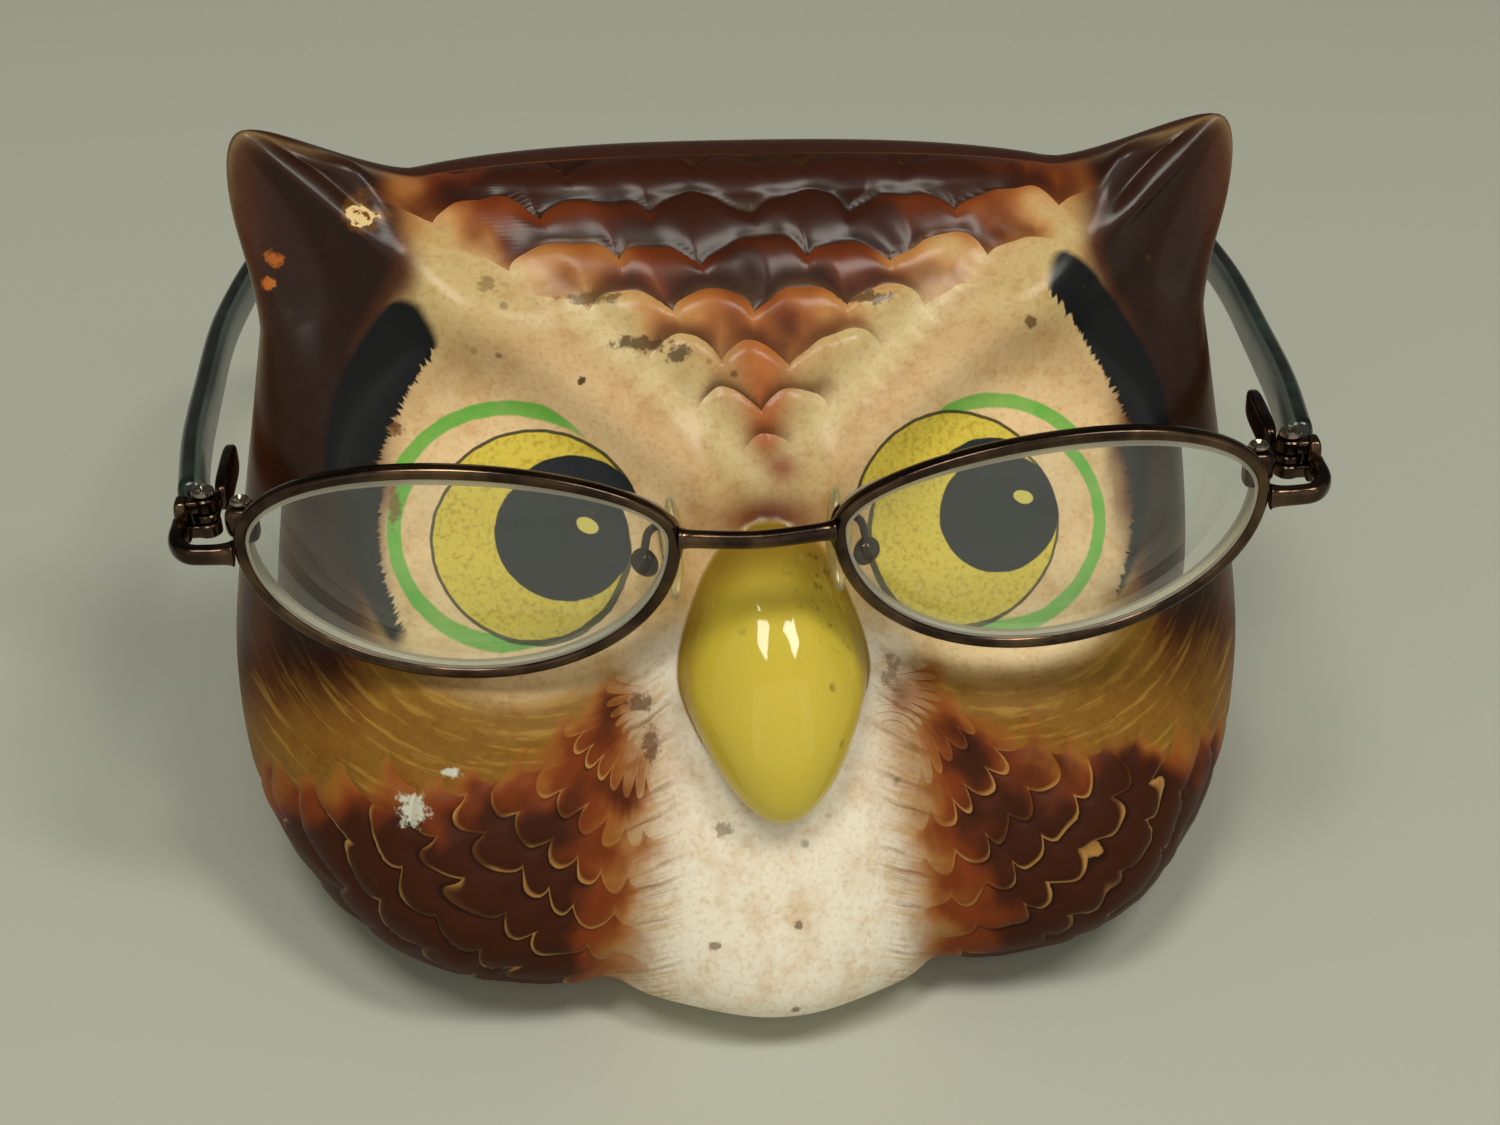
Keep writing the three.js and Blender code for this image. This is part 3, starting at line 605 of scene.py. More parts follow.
# brow strokes: blue black, brushed outwards from the eye, so their inner edge is all bristle ends
patch_radius = distance(out, q, 27.0, 36.0)
patch_turn = calc("ARCTAN2", calc("SUBTRACT", q, 36.0), calc("SUBTRACT", out, 27.0))
right_side = calc("GREATER_THAN", p, 0.0)
bristle_seed = calc("MULTIPLY_ADD", right_side, 5.0, patch_turn)
bristle = add_node(tree, "ShaderNodeTexNoise", {"noise_dimensions": "1D"}, W=bristle_seed, Scale=26.0,
                   Detail=5.0, Roughness=0.75).outputs["Fac"]
off_axis = calc("SUBTRACT", patch_turn, 0.42)
growth = calc("MULTIPLY_ADD", calc("GREATER_THAN", off_axis, 0.0), 4.0, 2.2)
inner_edge = calc("MULTIPLY_ADD", calc("MULTIPLY", off_axis, off_axis), growth,
                  calc("MULTIPLY_ADD", right_side, 1.3, 17.1))
inner_edge = calc("ADD", inner_edge, calc("MULTIPLY_ADD", bristle, 3.0, -1.5))
outer_edge = calc("MULTIPLY_ADD", calc("MAXIMUM", patch_turn, 0.0), 5.2, 21.8)
patch = calc("MULTIPLY", smooth_step(-0.12, 0.12, calc("SUBTRACT", patch_radius, inner_edge)),
             smooth_step(0.5, -0.5, calc("SUBTRACT", patch_radius, outer_edge)))
end_middle = calc("MULTIPLY_ADD", right_side, 2.1, 22.8)
round_end = calc("POWER",
                 calc("MULTIPLY", calc("ABSOLUTE", calc("SUBTRACT", patch_radius, end_middle)), 0.24), 4.0)
end_turn = calc("ADD", patch_turn, calc("MULTIPLY", round_end, 0.10))
top_end = calc("MULTIPLY_ADD", right_side, 0.17, 1.11)
ends = calc("MULTIPLY", smooth_step(-0.84, -0.74, patch_turn),
            smooth_step(0.03, -0.03, calc("SUBTRACT", end_turn, top_end)))
colour = over(colour, "#080c0f", times(patch, ends, on_face))

# dark marks in the creases, and the marks of its years: rubbed edges, flecks of wall paint and one chip
MARKS = ((-20.3, 49.1, 0.5, 0.45, "#4a2f10", 0.95), (-41.4, 44.6, 0.9, 0.7, "#6a471a", 0.9),
         (-30.4, 60.3, 1.3, 1.0, "#75582a", 0.6), (31.5, 54.4, 0.8, 0.7, "#5a3a16", 0.8),
         (-18.9, 58.4, 3.2, 0.8, "#5b3f14", 0.75), (-13.4, 53.0, 3.0, 0.9, "#4f3413", 0.85),
         (-9.4, 51.6, 1.3, 1.0, "#3a2411", 0.8), (12.5, 57.6, 2.8, 0.8, "#4a2f12", 0.8),
         (-42.6, 37.0, 0.7, 2.6, "#7a5722", 0.8), (44.2, 36.0, 0.8, 4.5, "#8f6a38", 0.45),
         (-41.0, 2.0, 1.6, 1.7, "#c9cbb8", 0.95), (-36.6, 6.0, 1.0, 0.6, "#cfd0c0", 0.9),
         (-54.3, 64.8, 1.1, 0.9, "#b5611b", 0.9), (-55.2, 62.1, 0.9, 0.7, "#c26d22", 0.9),
         (-15.2, 12.6, 1.6, 1.0, "#4c2c12", 0.7), (-14.2, 8.0, 1.0, 2.2, "#54300f", 0.7),
         (13.4, 15.0, 0.9, 1.7, "#6b4a1c", 0.6), (-6.5, -2.0, 1.1, 0.8, "#6b4f24", 0.6),
         (1.5, -13.0, 0.5, 0.5, "#54370f", 0.7), (-8.0, -15.0, 0.6, 0.5, "#5d421c", 0.7))
ragged = add_node(tree, "ShaderNodeMapRange", Value=noise(place, 1100.0, 4.0, 0.7), To_Min=-1.6,
                  To_Max=1.6).outputs[0]
for mark_p, mark_q, half_p, half_q, hex_code, strength in MARKS:
    dp = calc("DIVIDE", calc("SUBTRACT", p, mark_p), half_p)
    dq = calc("DIVIDE", calc("SUBTRACT", q, mark_q), half_q)
    reach = calc("SQRT", calc("ADD", calc("MULTIPLY", dp, dp), calc("MULTIPLY", dq, dq)))
    colour = over(colour, hex_code,
                  times(smooth_step(1.25, 0.6, calc("ADD", reach, ragged)), on_face, strength))
chip_place = distance(p, q, -44.0, 69.0)
flaked = calc("MULTIPLY_ADD", noise(place, 420.0, 3.0, 0.6), 5.0, calc("SUBTRACT", chip_place, 2.5))
chipped = times(smooth_step(1.45, 1.3, flaked), on_face)
around_chip = times(smooth_step(3.0, 1.6, flaked), on_face)
colour = over(colour, "#6b4214", times(around_chip, 0.8))
colour = over(colour, "#e0c68c", chipped)
colour = stain(colour, "#8a6226", times(chipped, smooth_step(0.52, 0.60, noise(place, 1300.0, 3.0))))

# kiln specks and dust in the glaze, 0.3 to 1 mm across
speck = add_node(tree, "ShaderNodeTexVoronoi", Vector=place, Scale=230.0).outputs["Distance"]
scatter = noise(place, 70.0)
specks = calc("MULTIPLY", smooth_step(0.16, 0.07, speck), smooth_step(0.54, 0.66, scatter))
colour = over(colour, "#4a3415", calc("MULTIPLY", specks, 0.7))

glazed = field("glazed")
peel = noise(place, 160.0, 2.0)
ridges = calc("ADD", crown_height, cheek_height)
bump = add_node(tree, "ShaderNodeBump",
                Height=calc("MULTIPLY_ADD", ridges, 1.0, calc("MULTIPLY", peel, 0.25)), Strength=0.55,
                Distance=0.00035)
dull_glaze = times(smooth_step(0.02, -0.02, beak_line),
                   calc("MULTIPLY_ADD", noise(place, 60.0, 2.0), 0.12,
                        calc("MULTIPLY_ADD", below, 0.14, calc("MULTIPLY_ADD", cheek, 0.06, 0.09))))
rough = add_node(tree, "ShaderNodeMapRange", Value=glazed, To_Min=0.75, To_Max=0.42)
body = add_node(tree, "ShaderNodeBsdfPrincipled", Base_Color=colour, Roughness=rough.outputs[0],
                Coat_Weight=times(glazed, calc("SUBTRACT", 1.0, chipped), smooth_step(0.6, -0.3, below),
                                  calc("MULTIPLY_ADD", smooth_step(0.0, 0.03, beak_line), 0.5,
                                       0.5)), Normal=bump.outputs[0], Coat_Normal=bump.outputs[0])
body.inputs["IOR"].default_value = 1.5
tree.links.new(calc("ADD", dull_glaze, 0.045), body.inputs["Coat Roughness"])
body.inputs["Specular IOR Level"].default_value = 0.08
body.inputs["Coat IOR"].default_value = 1.52
tree.links.new(body.outputs[0], output.inputs[0])
owl.data.materials.append(glaze)
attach(owl, "owl")
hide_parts("owl_head")

# ------------------------------------------------------------------ spectacles: where they sit
# The front hangs between the two hinge pins, so their places in the frame give its own axes:
# X from hinge to hinge, Z along the pins, Y back towards the temples.
joints = {joint["name"]: joint for joint in frame["record"]["behaviour"]["joints"]}
pin_left = np.array(joints["temple_hinge_left"]["pos_m"]) / MM
pin_right = np.array(joints["temple_hinge_right"]["pos_m"]) / MM
PIN = np.array([60.25, 12.0, -0.6])            # a hinge pin's middle in the front's own frame
front_x = (pin_right - pin_left) / np.linalg.norm(pin_right - pin_left)
front_z = np.array(joints["temple_hinge_right"]["axis"])
front_y = np.cross(front_z, front_x)
front_axes = np.stack([front_x, front_y, front_z], 1)
front_origin = (pin_left + pin_right) / 2 - front_axes @ [0, PIN[1], PIN[2]]
WRAP = math.radians(4.5)


def worn(points):
    """From the front's own frame to the owl's, in millimetres."""
    return np.asarray(points) @ front_axes.T + front_origin


def wrapped(points, side):
    """Turns a lens and its rim back towards the temple, about the bridge's middle."""
    points = np.asarray(points, float)
    cos, sin = math.cos(WRAP), side * math.sin(WRAP)
    px, py = points[..., 0], points[..., 1]
    return np.stack([px * cos - py * sin, px * sin + py * cos, points[..., 2]], -1)


# ------------------------------------------------------------------ rims
# Eye wire: drawn alloy wire with a groove for the lens, bent to the lens outline, plated a dark
# bronze gunmetal and polished. It is cut at the temple end and held shut by a tiny block.
LENS_WIDTH, LENS_ABOVE, LENS_BELOW, LENS_GAP = 45.5, 8.4, 16.35, 19.1
TOP_LEAN, BOTTOM_LEAN = 3.1, -0.65
RIM_WIDTH, RIM_DEPTH = 1.4, 1.9
BASE_CURVE = 400.0


def outline(theta, grow):
    """Lens outline: an ellipse whose upper and lower halves differ in height and lean sideways."""
    sin = np.sin(theta)
    lean = np.where(sin > 0, TOP_LEAN, BOTTOM_LEAN)
    half = LENS_WIDTH / 2 + grow
    px = LENS_GAP / 2 + LENS_WIDTH / 2 + half * np.cos(theta) + lean * sin * sin
    return px, (np.where(sin > 0, LENS_ABOVE, LENS_BELOW) + grow) * sin


def dished(px, pz):
    """How far the lens front lies back from its plane, on a sphere of the base curve's radius."""
    centre = LENS_GAP / 2 + LENS_WIDTH / 2
    return ((px - centre) ** 2 + pz ** 2) / (2 * BASE_CURVE) - 0.36


def superellipse(count, half_a, half_b, power):
    """Closed section |a / A|^n + |b / B|^n = 1 as count points, turning anticlockwise."""
    angle = np.linspace(0, 2 * math.pi, count, endpoint=False)
    pinch = 2 / power
    cos, sin = np.cos(angle), np.sin(angle)
    return half_a * np.sign(cos) * np.abs(cos) ** pinch, half_b * np.sign(sin) * np.abs(sin) ** pinch


def finish_piece(made, material, body, slot, *nodes, crease=None):
    """Material, body and the CAD nodes that a finished piece stands for; slot is not used."""
    if crease is not None:
        made.data.set_sharp_from_angle(angle=math.radians(crease))
    made.data.materials.append(material)
    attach(made, body)
    if nodes:
        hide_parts(*nodes)
    return made


def outward(points, faces):
    """Flips all faces if the closed surface they make has a negative volume."""
    points = np.asarray(points)
    volume = 0.0
    for size in (3, 4):
        group = np.array([face for face in faces if len(face) == size])
        if len(group):
            a = points[group[:, 0]]
            for i in range(1, size - 1):
                volume += np.einsum("ij,ij->", a, np.cross(points[group[:, i]], points[group[:, i + 1]]))
    return faces if volume > 0 else [face[::-1] for face in faces]


def surface(name, grid, closed_ends=True, ring=False):
    """An object from a (rows, columns, 3) grid in mm, columns wrapped; rows wrapped if ring is set,
    or else closed by a fan to the mean of each end row."""
    rows, columns = grid.shape[:2]
    points = grid.reshape(-1, 3)
    if ring:
        points = np.concatenate([grid, grid[:1]]).reshape(-1, 3)
        faces = (np.array(grid_faces(rows + 1, columns)) % (rows * columns)).tolist()
        points = grid.reshape(-1, 3)
    else:
        faces = grid_faces(rows, columns)
        if closed_ends:
            points = np.concatenate([points, grid[:1].mean(1), grid[-1:].mean(1)])
            faces += fan(np.arange(columns), rows * columns, flip=True)
            faces += fan(np.arange(columns) + (rows - 1) * columns, rows * columns + 1)
    return mesh_object(name, points, outward(points, faces))


plated, tree, output = new_material("gunmetal_bronze_plating")
place = add_node(tree, "ShaderNodeTexCoord").outputs["Object"]
drawn = add_node(tree, "ShaderNodeTexNoise", Vector=place, Scale=1500.0, Detail=3.0).outputs["Fac"]
worn_patch = add_node(tree, "ShaderNodeTexNoise", Vector=place, Scale=180.0, Detail=3.0).outputs["Fac"]
tint = add_node(tree, "ShaderNodeMix", {"data_type": "RGBA"})
tree.links.new(add_node(tree, "ShaderNodeMapRange", Value=worn_patch, From_Min=0.42,
                        From_Max=0.66).outputs[0],
               tint.inputs[0])
tint.inputs[6].default_value = rgba("#382d26")
tint.inputs[7].default_value = rgba("#634f3c")
polish = add_node(tree, "ShaderNodeMapRange", Value=drawn, To_Min=0.10, To_Max=0.26)
skin_bump = add_node(tree, "ShaderNodeBump", Height=drawn, Strength=0.08, Distance=0.0001)
metal = add_node(tree, "ShaderNodeBsdfPrincipled", Base_Color=tint.outputs[2], Metallic=1.0,
                 Roughness=polish.outputs[0], Normal=skin_bump.outputs[0])
tree.links.new(metal.outputs[0], output.inputs[0])

SIDES = (("left", -1), ("right", 1))
theta = np.linspace(0, 2 * math.pi, 160, endpoint=False)[:, None]
for word, side in SIDES:
    a, b = superellipse(14, RIM_WIDTH / 2 + 0.05, RIM_DEPTH / 2, 2.8)
    px, pz = outline(theta, RIM_WIDTH / 2 + a[None, :])
    py = dished(px, pz) + b[None, :]
    rim = surface(f"rim_wire_{word}", worn(wrapped(np.stack([side * px, py, pz], -1), side)), ring=True)
    finish_piece(rim, plated, "spectacles", "frame_metal", f"rim_{word}")

# ------------------------------------------------------------------ lenses
# High-index resin lenses of about -7 dioptres: thin in the middle, a thick polished edge that
# shows pale inside the rim, and a smaller view of the eye behind.
LENS_INDEX, CENTRE_THICK = 1.6, 1.2
FRONT_RADIUS, BACK_RADIUS = BASE_CURVE, 70.0
resin, tree, output = new_material("high_index_resin")
clear = add_node(tree, "ShaderNodeBsdfPrincipled", Base_Color=rgba("#f6faf8"), Roughness=0.0,
                 Transmission_Weight=1.0)
clear.inputs["IOR"].default_value = LENS_INDEX
clear.inputs["Specular IOR Level"].default_value = 0.08     # its coating takes away reflections
open_way = add_node(tree, "ShaderNodeBsdfTransparent", Color=rgba("#eef2ef"))
lamp = add_node(tree, "ShaderNodeLightPath").outputs["Is Shadow Ray"]
blend = add_node(tree, "ShaderNodeMixShader", _0=lamp, _1=clear.outputs[0], _2=open_way.outputs[0])
tree.links.new(blend.outputs[0], output.inputs[0])
bevel, tree, output = new_material("ground_lens_edge")
place = add_node(tree, "ShaderNodeTexCoord").outputs["Object"]
ground = add_node(tree, "ShaderNodeTexNoise", Vector=place, Scale=1200.0).outputs["Fac"]
frost = add_node(tree, "ShaderNodeMapRange", Value=ground, To_Min=0.25, To_Max=0.5)
edge_shader = add_node(tree, "ShaderNodeBsdfPrincipled", Base_Color=rgba("#b5b1a0"),
                       Roughness=frost.outputs[0],
                       Transmission_Weight=0.35)
tree.links.new(edge_shader.outputs[0], output.inputs[0])
for word, side in SIDES:
    spread = np.sin(np.linspace(0.02, 1, 22) * math.pi / 2)[:, None]
    angle = np.linspace(0, 2 * math.pi, 160, endpoint=False)[None, :]
    centre = LENS_GAP / 2 + LENS_WIDTH / 2 - 1.5
    inner_x, inner_z = outline(angle, -0.32 - 0.35 * np.clip(np.sin(angle), 0, 1))
    rim_x, rim_z = outline(angle, 0.12)
    px = np.concatenate([centre + spread * (inner_x - centre), rim_x])
    pz = np.concatenate([spread * inner_z, rim_z])
    front = dished(px, pz) - 0.55
    thick = CENTRE_THICK + ((px - centre) ** 2 + pz ** 2) / 2 * (1 / BACK_RADIUS - 1 / FRONT_RADIUS)
    front_face = np.stack([side * px, front, pz], -1)
    back_face = np.stack([side * px, front + thick, pz], -1)[::-1]
    lens = surface(f"lens_blank_{word}", worn(wrapped(np.concatenate([front_face, back_face]), side)))
    finish_piece(lens, resin, "spectacles", "lens", f"lens_{word}", crease=40)
    lens.data.materials.append(bevel)
    strip = np.zeros(len(lens.data.polygons), dtype=np.int32)
    strip[21 * 160:24 * 160] = 1                # the outermost bands of quads, front, edge and back
    lens.data.polygons.foreach_set("material_index", strip)

# ------------------------------------------------------------------ bridge and end pieces
# Drawn bar soldered between the rims, with a fillet of solder at each end, and bent bars from the
# rims out and back to the hinges.


def chain(knots, count):
    """A smooth line through points: Hermite pieces over the running distance between them."""
    knots = np.asarray(knots, float)
    run = np.concatenate([[0], np.cumsum(np.linalg.norm(np.diff(knots, axis=0), axis=1))])
    at = np.linspace(0, run[-1], count)
    return np.stack([through(list(zip(run, knots[:, i])), at) for i in range(3)], -1), at


def carried(path, half_across, half_up, count, power=2.0, lift=(0, 0, 1)):
    """A superellipse section carried along a path; its second axis stays as upright as it can."""
    ahead = np.gradient(path, axis=0)
    ahead /= np.linalg.norm(ahead, axis=1, keepdims=True)
    across = np.cross(np.array(lift, float), ahead)
    across /= np.linalg.norm(across, axis=1, keepdims=True)
    upward = np.cross(ahead, across)
    a, b = superellipse(count, 1.0, 1.0, power)
    half_across = np.broadcast_to(half_across, len(path))[:, None, None]
    half_up = np.broadcast_to(half_up, len(path))[:, None, None]
    return path[:, None] + half_across * a[None, :, None] * across[:, None] \
        + half_up * b[None, :, None] * upward[:, None]


BRIDGE_RADIUS, BRIDGE_HEIGHT = 1.0, 0.45
bridge_end = LENS_GAP / 2 - RIM_WIDTH + 0.25
path, run = chain([[-bridge_end, 0.1, BRIDGE_HEIGHT], [0, -0.4, BRIDGE_HEIGHT - 0.35],
                   [bridge_end, 0.1, BRIDGE_HEIGHT]], 60)
fillet = 0.35 * (np.exp(-run / 0.5) + np.exp(-(run[-1] - run) / 0.5))
bar = surface("bridge_bar", worn(carried(path, BRIDGE_RADIUS + fillet, BRIDGE_RADIUS + fillet, 24)))
finish_piece(bar, plated, "spectacles", "frame_metal", "bridge")
END_ROUTE = [[56.55, 4.9, -1.4], [59.3, 4.8, -1.35], [61.45, 5.0, -1.2], [62.75, 6.6, -1.05],
             [62.85, 10.4, -0.8]]
for word, side in SIDES:
    path, run = chain(np.array(END_ROUTE) * [side, 1, 1], 60)
    fillet = 0.35 * np.exp(-run / 0.6)
    end_bar = surface(f"end_bar_{word}", worn(carried(path, 0.95 + fillet, 1.1 + fillet, 24, 2.6)))
    finish_piece(end_bar, plated, "spectacles", "frame_metal", f"end_piece_{word}")

# ------------------------------------------------------------------ rim locks and their screws
# A split steel block soldered behind each rim's cut; its screw closes the rim on the lens.


def turned(profile, centre, axis, count=28, slot_width=0.0, slot_depth=0.0):
    """A lathe-turned solid: (radius, height) pairs spun round an axis through a centre, with a
    screwdriver slot cut across the last flat if a slot width is given."""
    profile = np.array(profile, float)
    angle = np.linspace(0, 2 * math.pi, count, endpoint=False)
    axis = np.array(axis, float) / np.linalg.norm(axis)
    first = np.cross(axis, [0.31, 0.95, 0.07])
    first /= np.linalg.norm(first)
    second = np.cross(axis, first)
    radius = profile[:, 0][:, None]
    height = np.broadcast_to(profile[:, 1][:, None], (len(profile), count)).copy()
    offset = radius * np.cos(angle)[None, :]
    if slot_width:
        top = height > profile[-1, 1] - 0.02
        height = np.where(top & (np.abs(offset) < slot_width), height - slot_depth, height)
    spun = offset[..., None] * first + (radius * np.sin(angle)[None, :])[..., None] * second
    return np.array(centre) + spun + height[..., None] * axis


def block(centre, half, power=4.5, rows=22, columns=36):
    """A block with rounded edges: a superellipsoid |x/a|^n + |y/b|^n + |z/c|^n = 1."""
    lat = np.linspace(-math.pi / 2, math.pi / 2, rows + 2)[1:-1, None]
    lon = np.linspace(0, 2 * math.pi, columns, endpoint=False)[None, :]
    pinch = 2 / power

    def shaped(value):
        return np.sign(value) * np.abs(value) ** pinch

    unit = np.stack([shaped(np.cos(lat)) * shaped(np.cos(lon)), shaped(np.cos(lat)) * shaped(np.sin(lon)),
                     shaped(np.sin(lat)) * np.ones_like(lon)], -1)
    return np.array(centre) + unit * np.array(half)


steel, tree, output = new_material("polished_screw_steel")
place = add_node(tree, "ShaderNodeTexCoord").outputs["Object"]
scratch = add_node(tree, "ShaderNodeTexNoise", Vector=place, Scale=2200.0, Detail=2.0).outputs["Fac"]
wear = add_node(tree, "ShaderNodeMapRange", Value=scratch, To_Min=0.16, To_Max=0.36)
pin = add_node(tree, "ShaderNodeBsdfPrincipled", Base_Color=rgba("#8f877a"), Metallic=1.0,
               Roughness=wear.outputs[0])
tree.links.new(pin.outputs[0], output.inputs[0])

rim_end = LENS_GAP / 2 + LENS_WIDTH + RIM_WIDTH
lock_y = RIM_DEPTH / 2 + 0.3 + 1.4
for word, side in SIDES:
    lock = block([side * (rim_end - 0.9), lock_y, 1.55], [2.0, 1.7, 1.95], 3.4)
    made = surface(f"rim_lock_{word}", worn(wrapped(lock, side)))
    finish_piece(made, plated, "spectacles", "frame_metal", f"closing_block_{word}")
    head = [(0.05, 3.2), (0.6, 3.2), (0.62, 3.55), (1.0, 3.62), (1.12, 3.9), (1.0, 4.15), (0.7, 4.28),
            (0.35, 4.3), (0.05, 4.3)]
    made = surface(f"lock_screw_{word}", worn(wrapped(
        turned(head, [side * (rim_end - 0.7), lock_y, 0], [0, 0, 1], slot_width=0.22, slot_depth=0.3), side)))
    finish_piece(made, steel, "spectacles", "screw_steel", f"closing_screw_{word}", crease=35)

# ------------------------------------------------------------------ nose pads
# A springy wire soldered to each rim loops back to a round box, whose screw holds a soft clear
# oval pad that rests on the root of the beak.
ARM_ROUTE = [[8.65, 1.2, -2.5], [8.4, 2.4, -2.0], [8.5, 3.9, -0.9], [9.4, 5.8, -0.4], [10.9, 7.4, -2.2],
             [11.5, 7.7, -5.0]]
PAD_PIVOT = np.array([11.5, 7.7, -6.6])
vinyl, tree, output = new_material("clear_vinyl")
place = add_node(tree, "ShaderNodeTexCoord").outputs["Object"]
haze = add_node(tree, "ShaderNodeTexNoise", Vector=place, Scale=500.0).outputs["Fac"]
cloudy = add_node(tree, "ShaderNodeMapRange", Value=haze, To_Min=0.08, To_Max=0.24)
soft = add_node(tree, "ShaderNodeBsdfPrincipled", Base_Color=rgba("#e6dfb8"), Roughness=cloudy.outputs[0],
                Transmission_Weight=0.92)
soft.inputs["IOR"].default_value = 1.45
open_way = add_node(tree, "ShaderNodeBsdfTransparent", Color=rgba("#e9e4c8"))
lamp = add_node(tree, "ShaderNodeLightPath").outputs["Is Shadow Ray"]
blend = add_node(tree, "ShaderNodeMixShader", _0=lamp, _1=soft.outputs[0], _2=open_way.outputs[0])
tree.links.new(blend.outputs[0], output.inputs[0])
lean = math.radians(-28)
tilt = np.array([[1, 0, 0], [0, math.cos(lean), -math.sin(lean)], [0, math.sin(lean), math.cos(lean)]])
for word, side in SIDES:
    path, run = chain(np.array(ARM_ROUTE) * [side, 1, 1], 60)
    arm = surface(f"pad_wire_{word}", worn(carried(path, 0.45, 0.45, 16, lift=(1, 0.2, 0))))
    finish_piece(arm, plated, "spectacles", "frame_metal", f"pad_arm_{word}")
    knob = [(0.05, -0.7), (1.1, -0.7), (1.45, -0.58), (1.62, -0.3), (1.66, 0.1), (1.55, 0.5), (1.33, 0.9),
            (1.0, 1.2), (0.75, 1.32), (0.72, 1.48), (0.5, 1.6), (0.25, 1.62), (0.05, 1.62)]
    box = surface(f"pad_knob_{word}", worn(turned(knob, PAD_PIVOT * [side, 1, 1], [side * 0.8, -0.6, 0.25],
                                                  slot_width=0.2, slot_depth=0.25)))
    finish_piece(box, plated, "spectacles", "frame_metal", f"pad_box_{word}", crease=50)
    plain = block([0, 0, 0], [1.05, 3.0, 5.8], 2.3, 28, 40)
    plain[..., 0] += 0.35 * (1 - (plain[..., 2] / 5.8) ** 2) * np.sign(side) * -1
    pad = surface(f"soft_pad_{word}", worn(plain @ tilt.T + [side * 9.2, 7.3, -5.4]))
    finish_piece(pad, vinyl, f"pad_{word}", "pad_silicone", f"nose_pad_{word}")

# ------------------------------------------------------------------ hinges
# Three-knuckle spring hinge: two leaves on the front, one on the sprung box of the temple, and a
# slotted screw through them as the pin.
for word, side in SIDES:
    at = PIN * [side, 1, 1]
    shapes = [block(at + [side * 2.4, -0.9, 0], [0.8, 1.4, 2.7], 4.0)]
    for low, high in ((-2.4, -0.75), (0.75, 2.4)):
        barrel = [(0.05, low), (1.3, low), (1.5, low + 0.15), (1.5, high - 0.15), (1.3, high), (0.05, high)]
        shapes.append(turned(barrel, at, [0, 0, 1]))
        shapes.append(block(at + [side * 1.2, -0.55, (low + high) / 2],
                            [1.3, 0.85, (high - low) / 2 - 0.05], 5.0, 14, 24))
    for number, shape in enumerate(shapes):
        leaf = surface(f"hinge_leaf_{word}_{number}", worn(shape))
        names = [f"front_knuckle_{word}"] if number == 0 else []
        finish_piece(leaf, plated, "spectacles", "frame_metal", *names, crease=35)
    head = [(0.05, 2.0), (0.6, 2.0), (0.62, 2.55), (1.15, 2.6), (1.3, 2.85), (1.2, 3.2), (0.85, 3.38),
            (0.4, 3.4), (0.05, 3.4)]
    screw = surface(f"hinge_pin_{word}", worn(turned(head, at, [0, 0, 1], slot_width=0.24, slot_depth=0.3)))
    finish_piece(screw, steel, "spectacles", "screw_steel", f"hinge_screw_{word}", crease=35)
    body = f"temple_arm_{word}"
    middle = [(0.05, -0.45), (1.35, -0.45), (1.5, -0.3), (1.5, 0.3), (1.35, 0.45), (0.05, 0.45)]
    for number, shape in enumerate((
            block(at + [side * -1.3, 7.8, 0], [0.85, 5.2, 1.95], 4.0),
            turned(middle, at, [0, 0, 1]),
            block(at + [side * -1.0, 1.8, 0], [0.5, 2.4, 0.42], 4.0))):
        spring = surface(f"spring_housing_{word}_{number}", worn(shape))
        names = [f"spring_box_{word}"] if number == 0 else []
        finish_piece(spring, plated, body, "frame_metal", *names, crease=35)

# ------------------------------------------------------------------ temples
# Laminated acetate cut from sheet: near-black green outside, smoke grey inside, tumbled glossy.
# It tapers behind the hinge, splays round the head and turns down behind the ear.
SLOPE, TIP_BEND, TIP_LENGTH = math.radians(7), math.radians(38), 40.0
STRAIGHT = [(62.1, 2.6), (64.1, 18), (65.2, 33), (66.4, 60), (64.0, 90)]
acetate, tree, output = new_material("laminated_acetate")
place = add_node(tree, "ShaderNodeTexCoord").outputs["Object"]
swirl = add_node(tree, "ShaderNodeTexNoise", Vector=place, Scale=120.0, Detail=4.0,
                 Distortion=1.2).outputs["Fac"]
outer = add_node(tree, "ShaderNodeMix", {"data_type": "RGBA"})
tree.links.new(add_node(tree, "ShaderNodeMapRange", Value=swirl, From_Min=0.45, From_Max=0.75).outputs[0],
               outer.inputs[0])
outer.inputs[6].default_value = rgba("#0b120e")
outer.inputs[7].default_value = rgba("#1d3528")
ply = add_node(tree, "ShaderNodeAttribute", {"attribute_name": "inner_ply"}).outputs["Fac"]
both = add_node(tree, "ShaderNodeMix", {"data_type": "RGBA"})
tree.links.new(add_node(tree, "ShaderNodeMapRange", Value=ply, From_Min=0.25, From_Max=0.4).outputs[0],
               both.inputs[0])
tree.links.new(outer.outputs[2], both.inputs[6])
both.inputs[7].default_value = rgba("#454e47")
gloss = add_node(tree, "ShaderNodeMapRange", Value=swirl, To_Min=0.16, To_Max=0.3)
sheet = add_node(tree, "ShaderNodeBsdfPrincipled", Base_Color=both.outputs[2], Roughness=gloss.outputs[0])
sheet.inputs["IOR"].default_value = 1.48
tree.links.new(sheet.outputs[0], output.inputs[0])
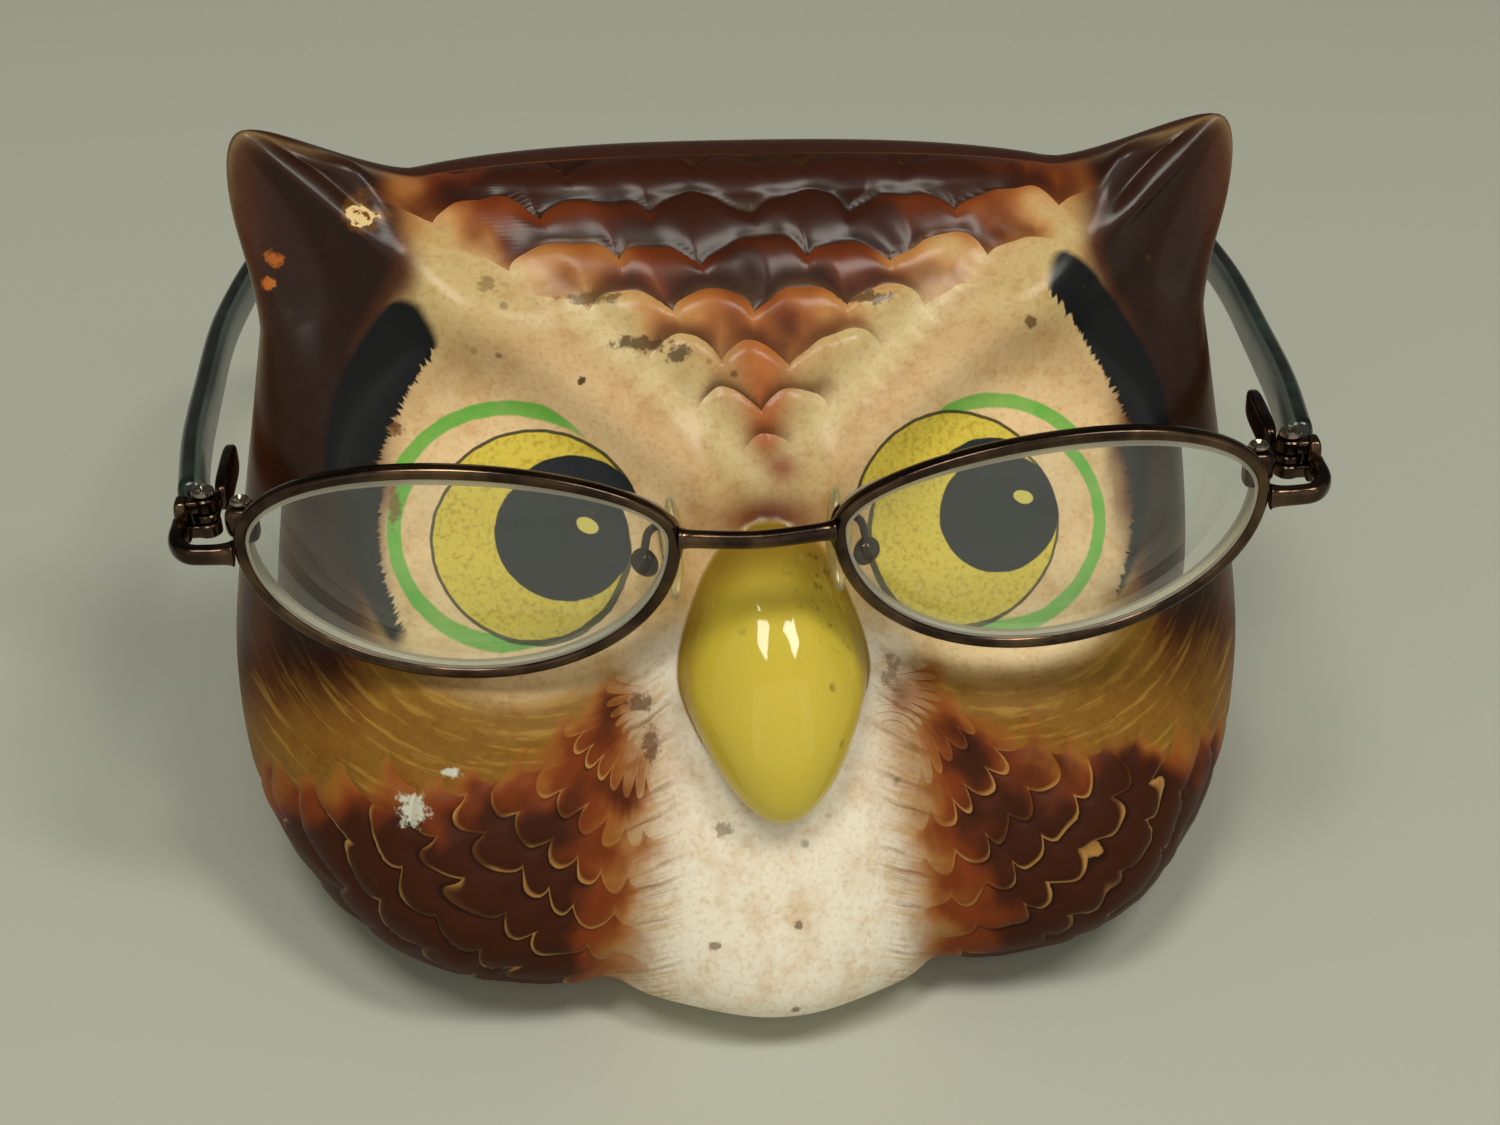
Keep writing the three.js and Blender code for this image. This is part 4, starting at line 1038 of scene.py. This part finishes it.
for word, side in SIDES:
    knots = [[px, PIN[1] + reach * math.cos(SLOPE), PIN[2] - reach * math.sin(SLOPE)] for px,
             reach in STRAIGHT]
    for step in range(1, 7):
        bend = SLOPE + TIP_BEND * min(step / 3, 1)
        length = 4 if step < 3 else TIP_LENGTH / 4
        px, py, pz = knots[-1]
        knots.append([px - 0.35, py + length * math.cos(bend), pz - length * math.sin(bend)])
    path, run = chain(np.array(knots) * [side, 1, 1], 170)
    share = run / run[-1]
    round_end = np.sqrt(np.clip(1 - ((run - run[-1] + 2.5) / 2.5).clip(0, 1) ** 2, 0.02, 1))
    butt = 0.75 + 0.25 * rising(0, 0.8, run)
    flat = (1.6 - 0.3 * rising(0.7, 1, share)) * round_end * butt
    tall = (2.9 - 0.7 * rising(0, 0.35, share) + 0.6 * rising(0.75, 0.95, share)) * round_end * butt
    section = 28
    temple = surface(f"temple_acetate_{word}", worn(carried(path, flat, tall, section, 3.2)))
    inward = superellipse(section, 1.0, 1.0, 3.2)[0] * side
    values = np.concatenate([np.tile(inward, len(path)), [0.0, 0.0]])
    layer = temple.data.attributes.new("inner_ply", "FLOAT", "POINT")
    layer.data.foreach_set("value", values)
    finish_piece(temple, acetate, f"temple_arm_{word}", "temple_acetate", f"temple_{word}")
    wire = frame["nodes"][f"core_wire_{word}"]
    wire.data.materials.clear()
    wire.data.materials.append(steel)

# ------------------------------------------------------------------ table, light and camera
# A plain pale table, window light from above the camera and a broad fill, and the camera at a
# person's eye looking down on the owl.
lowest = cad_box[0][2]
bpy.ops.mesh.primitive_plane_add(size=4.0, location=(0, 0, lowest))
table = bpy.context.object
table.name = "table_top"
cloth, tree, output = new_material("pale_table_top")
place = add_node(tree, "ShaderNodeTexCoord").outputs["Object"]
weave = add_node(tree, "ShaderNodeTexNoise", Vector=place, Scale=900.0, Detail=3.0).outputs["Fac"]
dull = add_node(tree, "ShaderNodeMapRange", Value=weave, To_Min=0.5, To_Max=0.62)
top = add_node(tree, "ShaderNodeBsdfPrincipled", Base_Color=rgba("#bcc0b3"), Roughness=dull.outputs[0])
tree.links.new(top.outputs[0], output.inputs[0])
table.data.materials.append(cloth)


def lamp_panel(name, place, aim, size, power, hex_code):
    """A rectangular soft light at a place, facing a point."""
    data = bpy.data.lights.new(name, "AREA")
    data.shape = "RECTANGLE"
    data.size, data.size_y = size
    data.energy = power
    data.color = tuple(linear(hex_code))
    made = bpy.data.objects.new(name, data)
    bpy.context.scene.collection.objects.link(made)
    made.location = place
    away_from = np.array(place) - np.array(aim)
    made.rotation_euler = mathutils.Vector(away_from).to_track_quat("Z", "Y").to_euler()


AIM = (0, -0.02, 0.045)
lamp_panel("window_left_pane", (-0.25, -0.30, 1.05), AIM, (0.24, 0.36), 4.2, "#fffaf0")
lamp_panel("window_right_pane", (0.36, -0.30, 1.05), AIM, (0.20, 0.36), 4.0, "#fffaf0")
lamp_panel("room_left", (-1.7, -0.9, 0.9), AIM, (2.4, 2.0), 5.5, "#fff4e0")
lamp_panel("room_right", (1.8, -0.8, 1.0), AIM, (2.4, 2.0), 4.5, "#fff6e8")
lamp_panel("room_front", (0.1, -2.1, 0.75), AIM, (4.2, 3.0), 22.0, "#fff8ec")
world = bpy.data.worlds.new("studio")
bpy.context.scene.world = world
world.use_nodes = True
world.node_tree.nodes["Background"].inputs["Color"].default_value = rgba("#f3f1e6")
world.node_tree.nodes["Background"].inputs["Strength"].default_value = 0.10

ELEVATION, AZIMUTH, ROLL = math.radians(36), math.radians(-9), math.radians(3)
AIM_POINT, CAMERA_DISTANCE, LENS_MM = np.array([-0.00217, -0.020, 0.04908]), 0.2714, 57.6
toward = np.array([math.sin(AZIMUTH) * math.cos(ELEVATION), -math.cos(AZIMUTH) * math.cos(ELEVATION),
                   math.sin(ELEVATION)])
level = np.array([math.cos(AZIMUTH), math.sin(AZIMUTH), 0.0])
upright = np.cross(toward, level)
right = level * math.cos(ROLL) + upright * math.sin(ROLL)
top_of_view = upright * math.cos(ROLL) - level * math.sin(ROLL)
camera_data = bpy.data.cameras.new("camera")
camera_data.lens = LENS_MM
camera_data.sensor_width = 36.0
camera_data.clip_start = 0.01
camera = bpy.data.objects.new("camera", camera_data)
bpy.context.scene.collection.objects.link(camera)
axes = mathutils.Matrix(np.stack([right, top_of_view, toward], 1).tolist())
camera.matrix_world = mathutils.Matrix.Translation(AIM_POINT + CAMERA_DISTANCE * toward) @ axes.to_4x4()
bpy.context.scene.camera = camera
bpy.context.scene.view_settings.view_transform = "Standard"
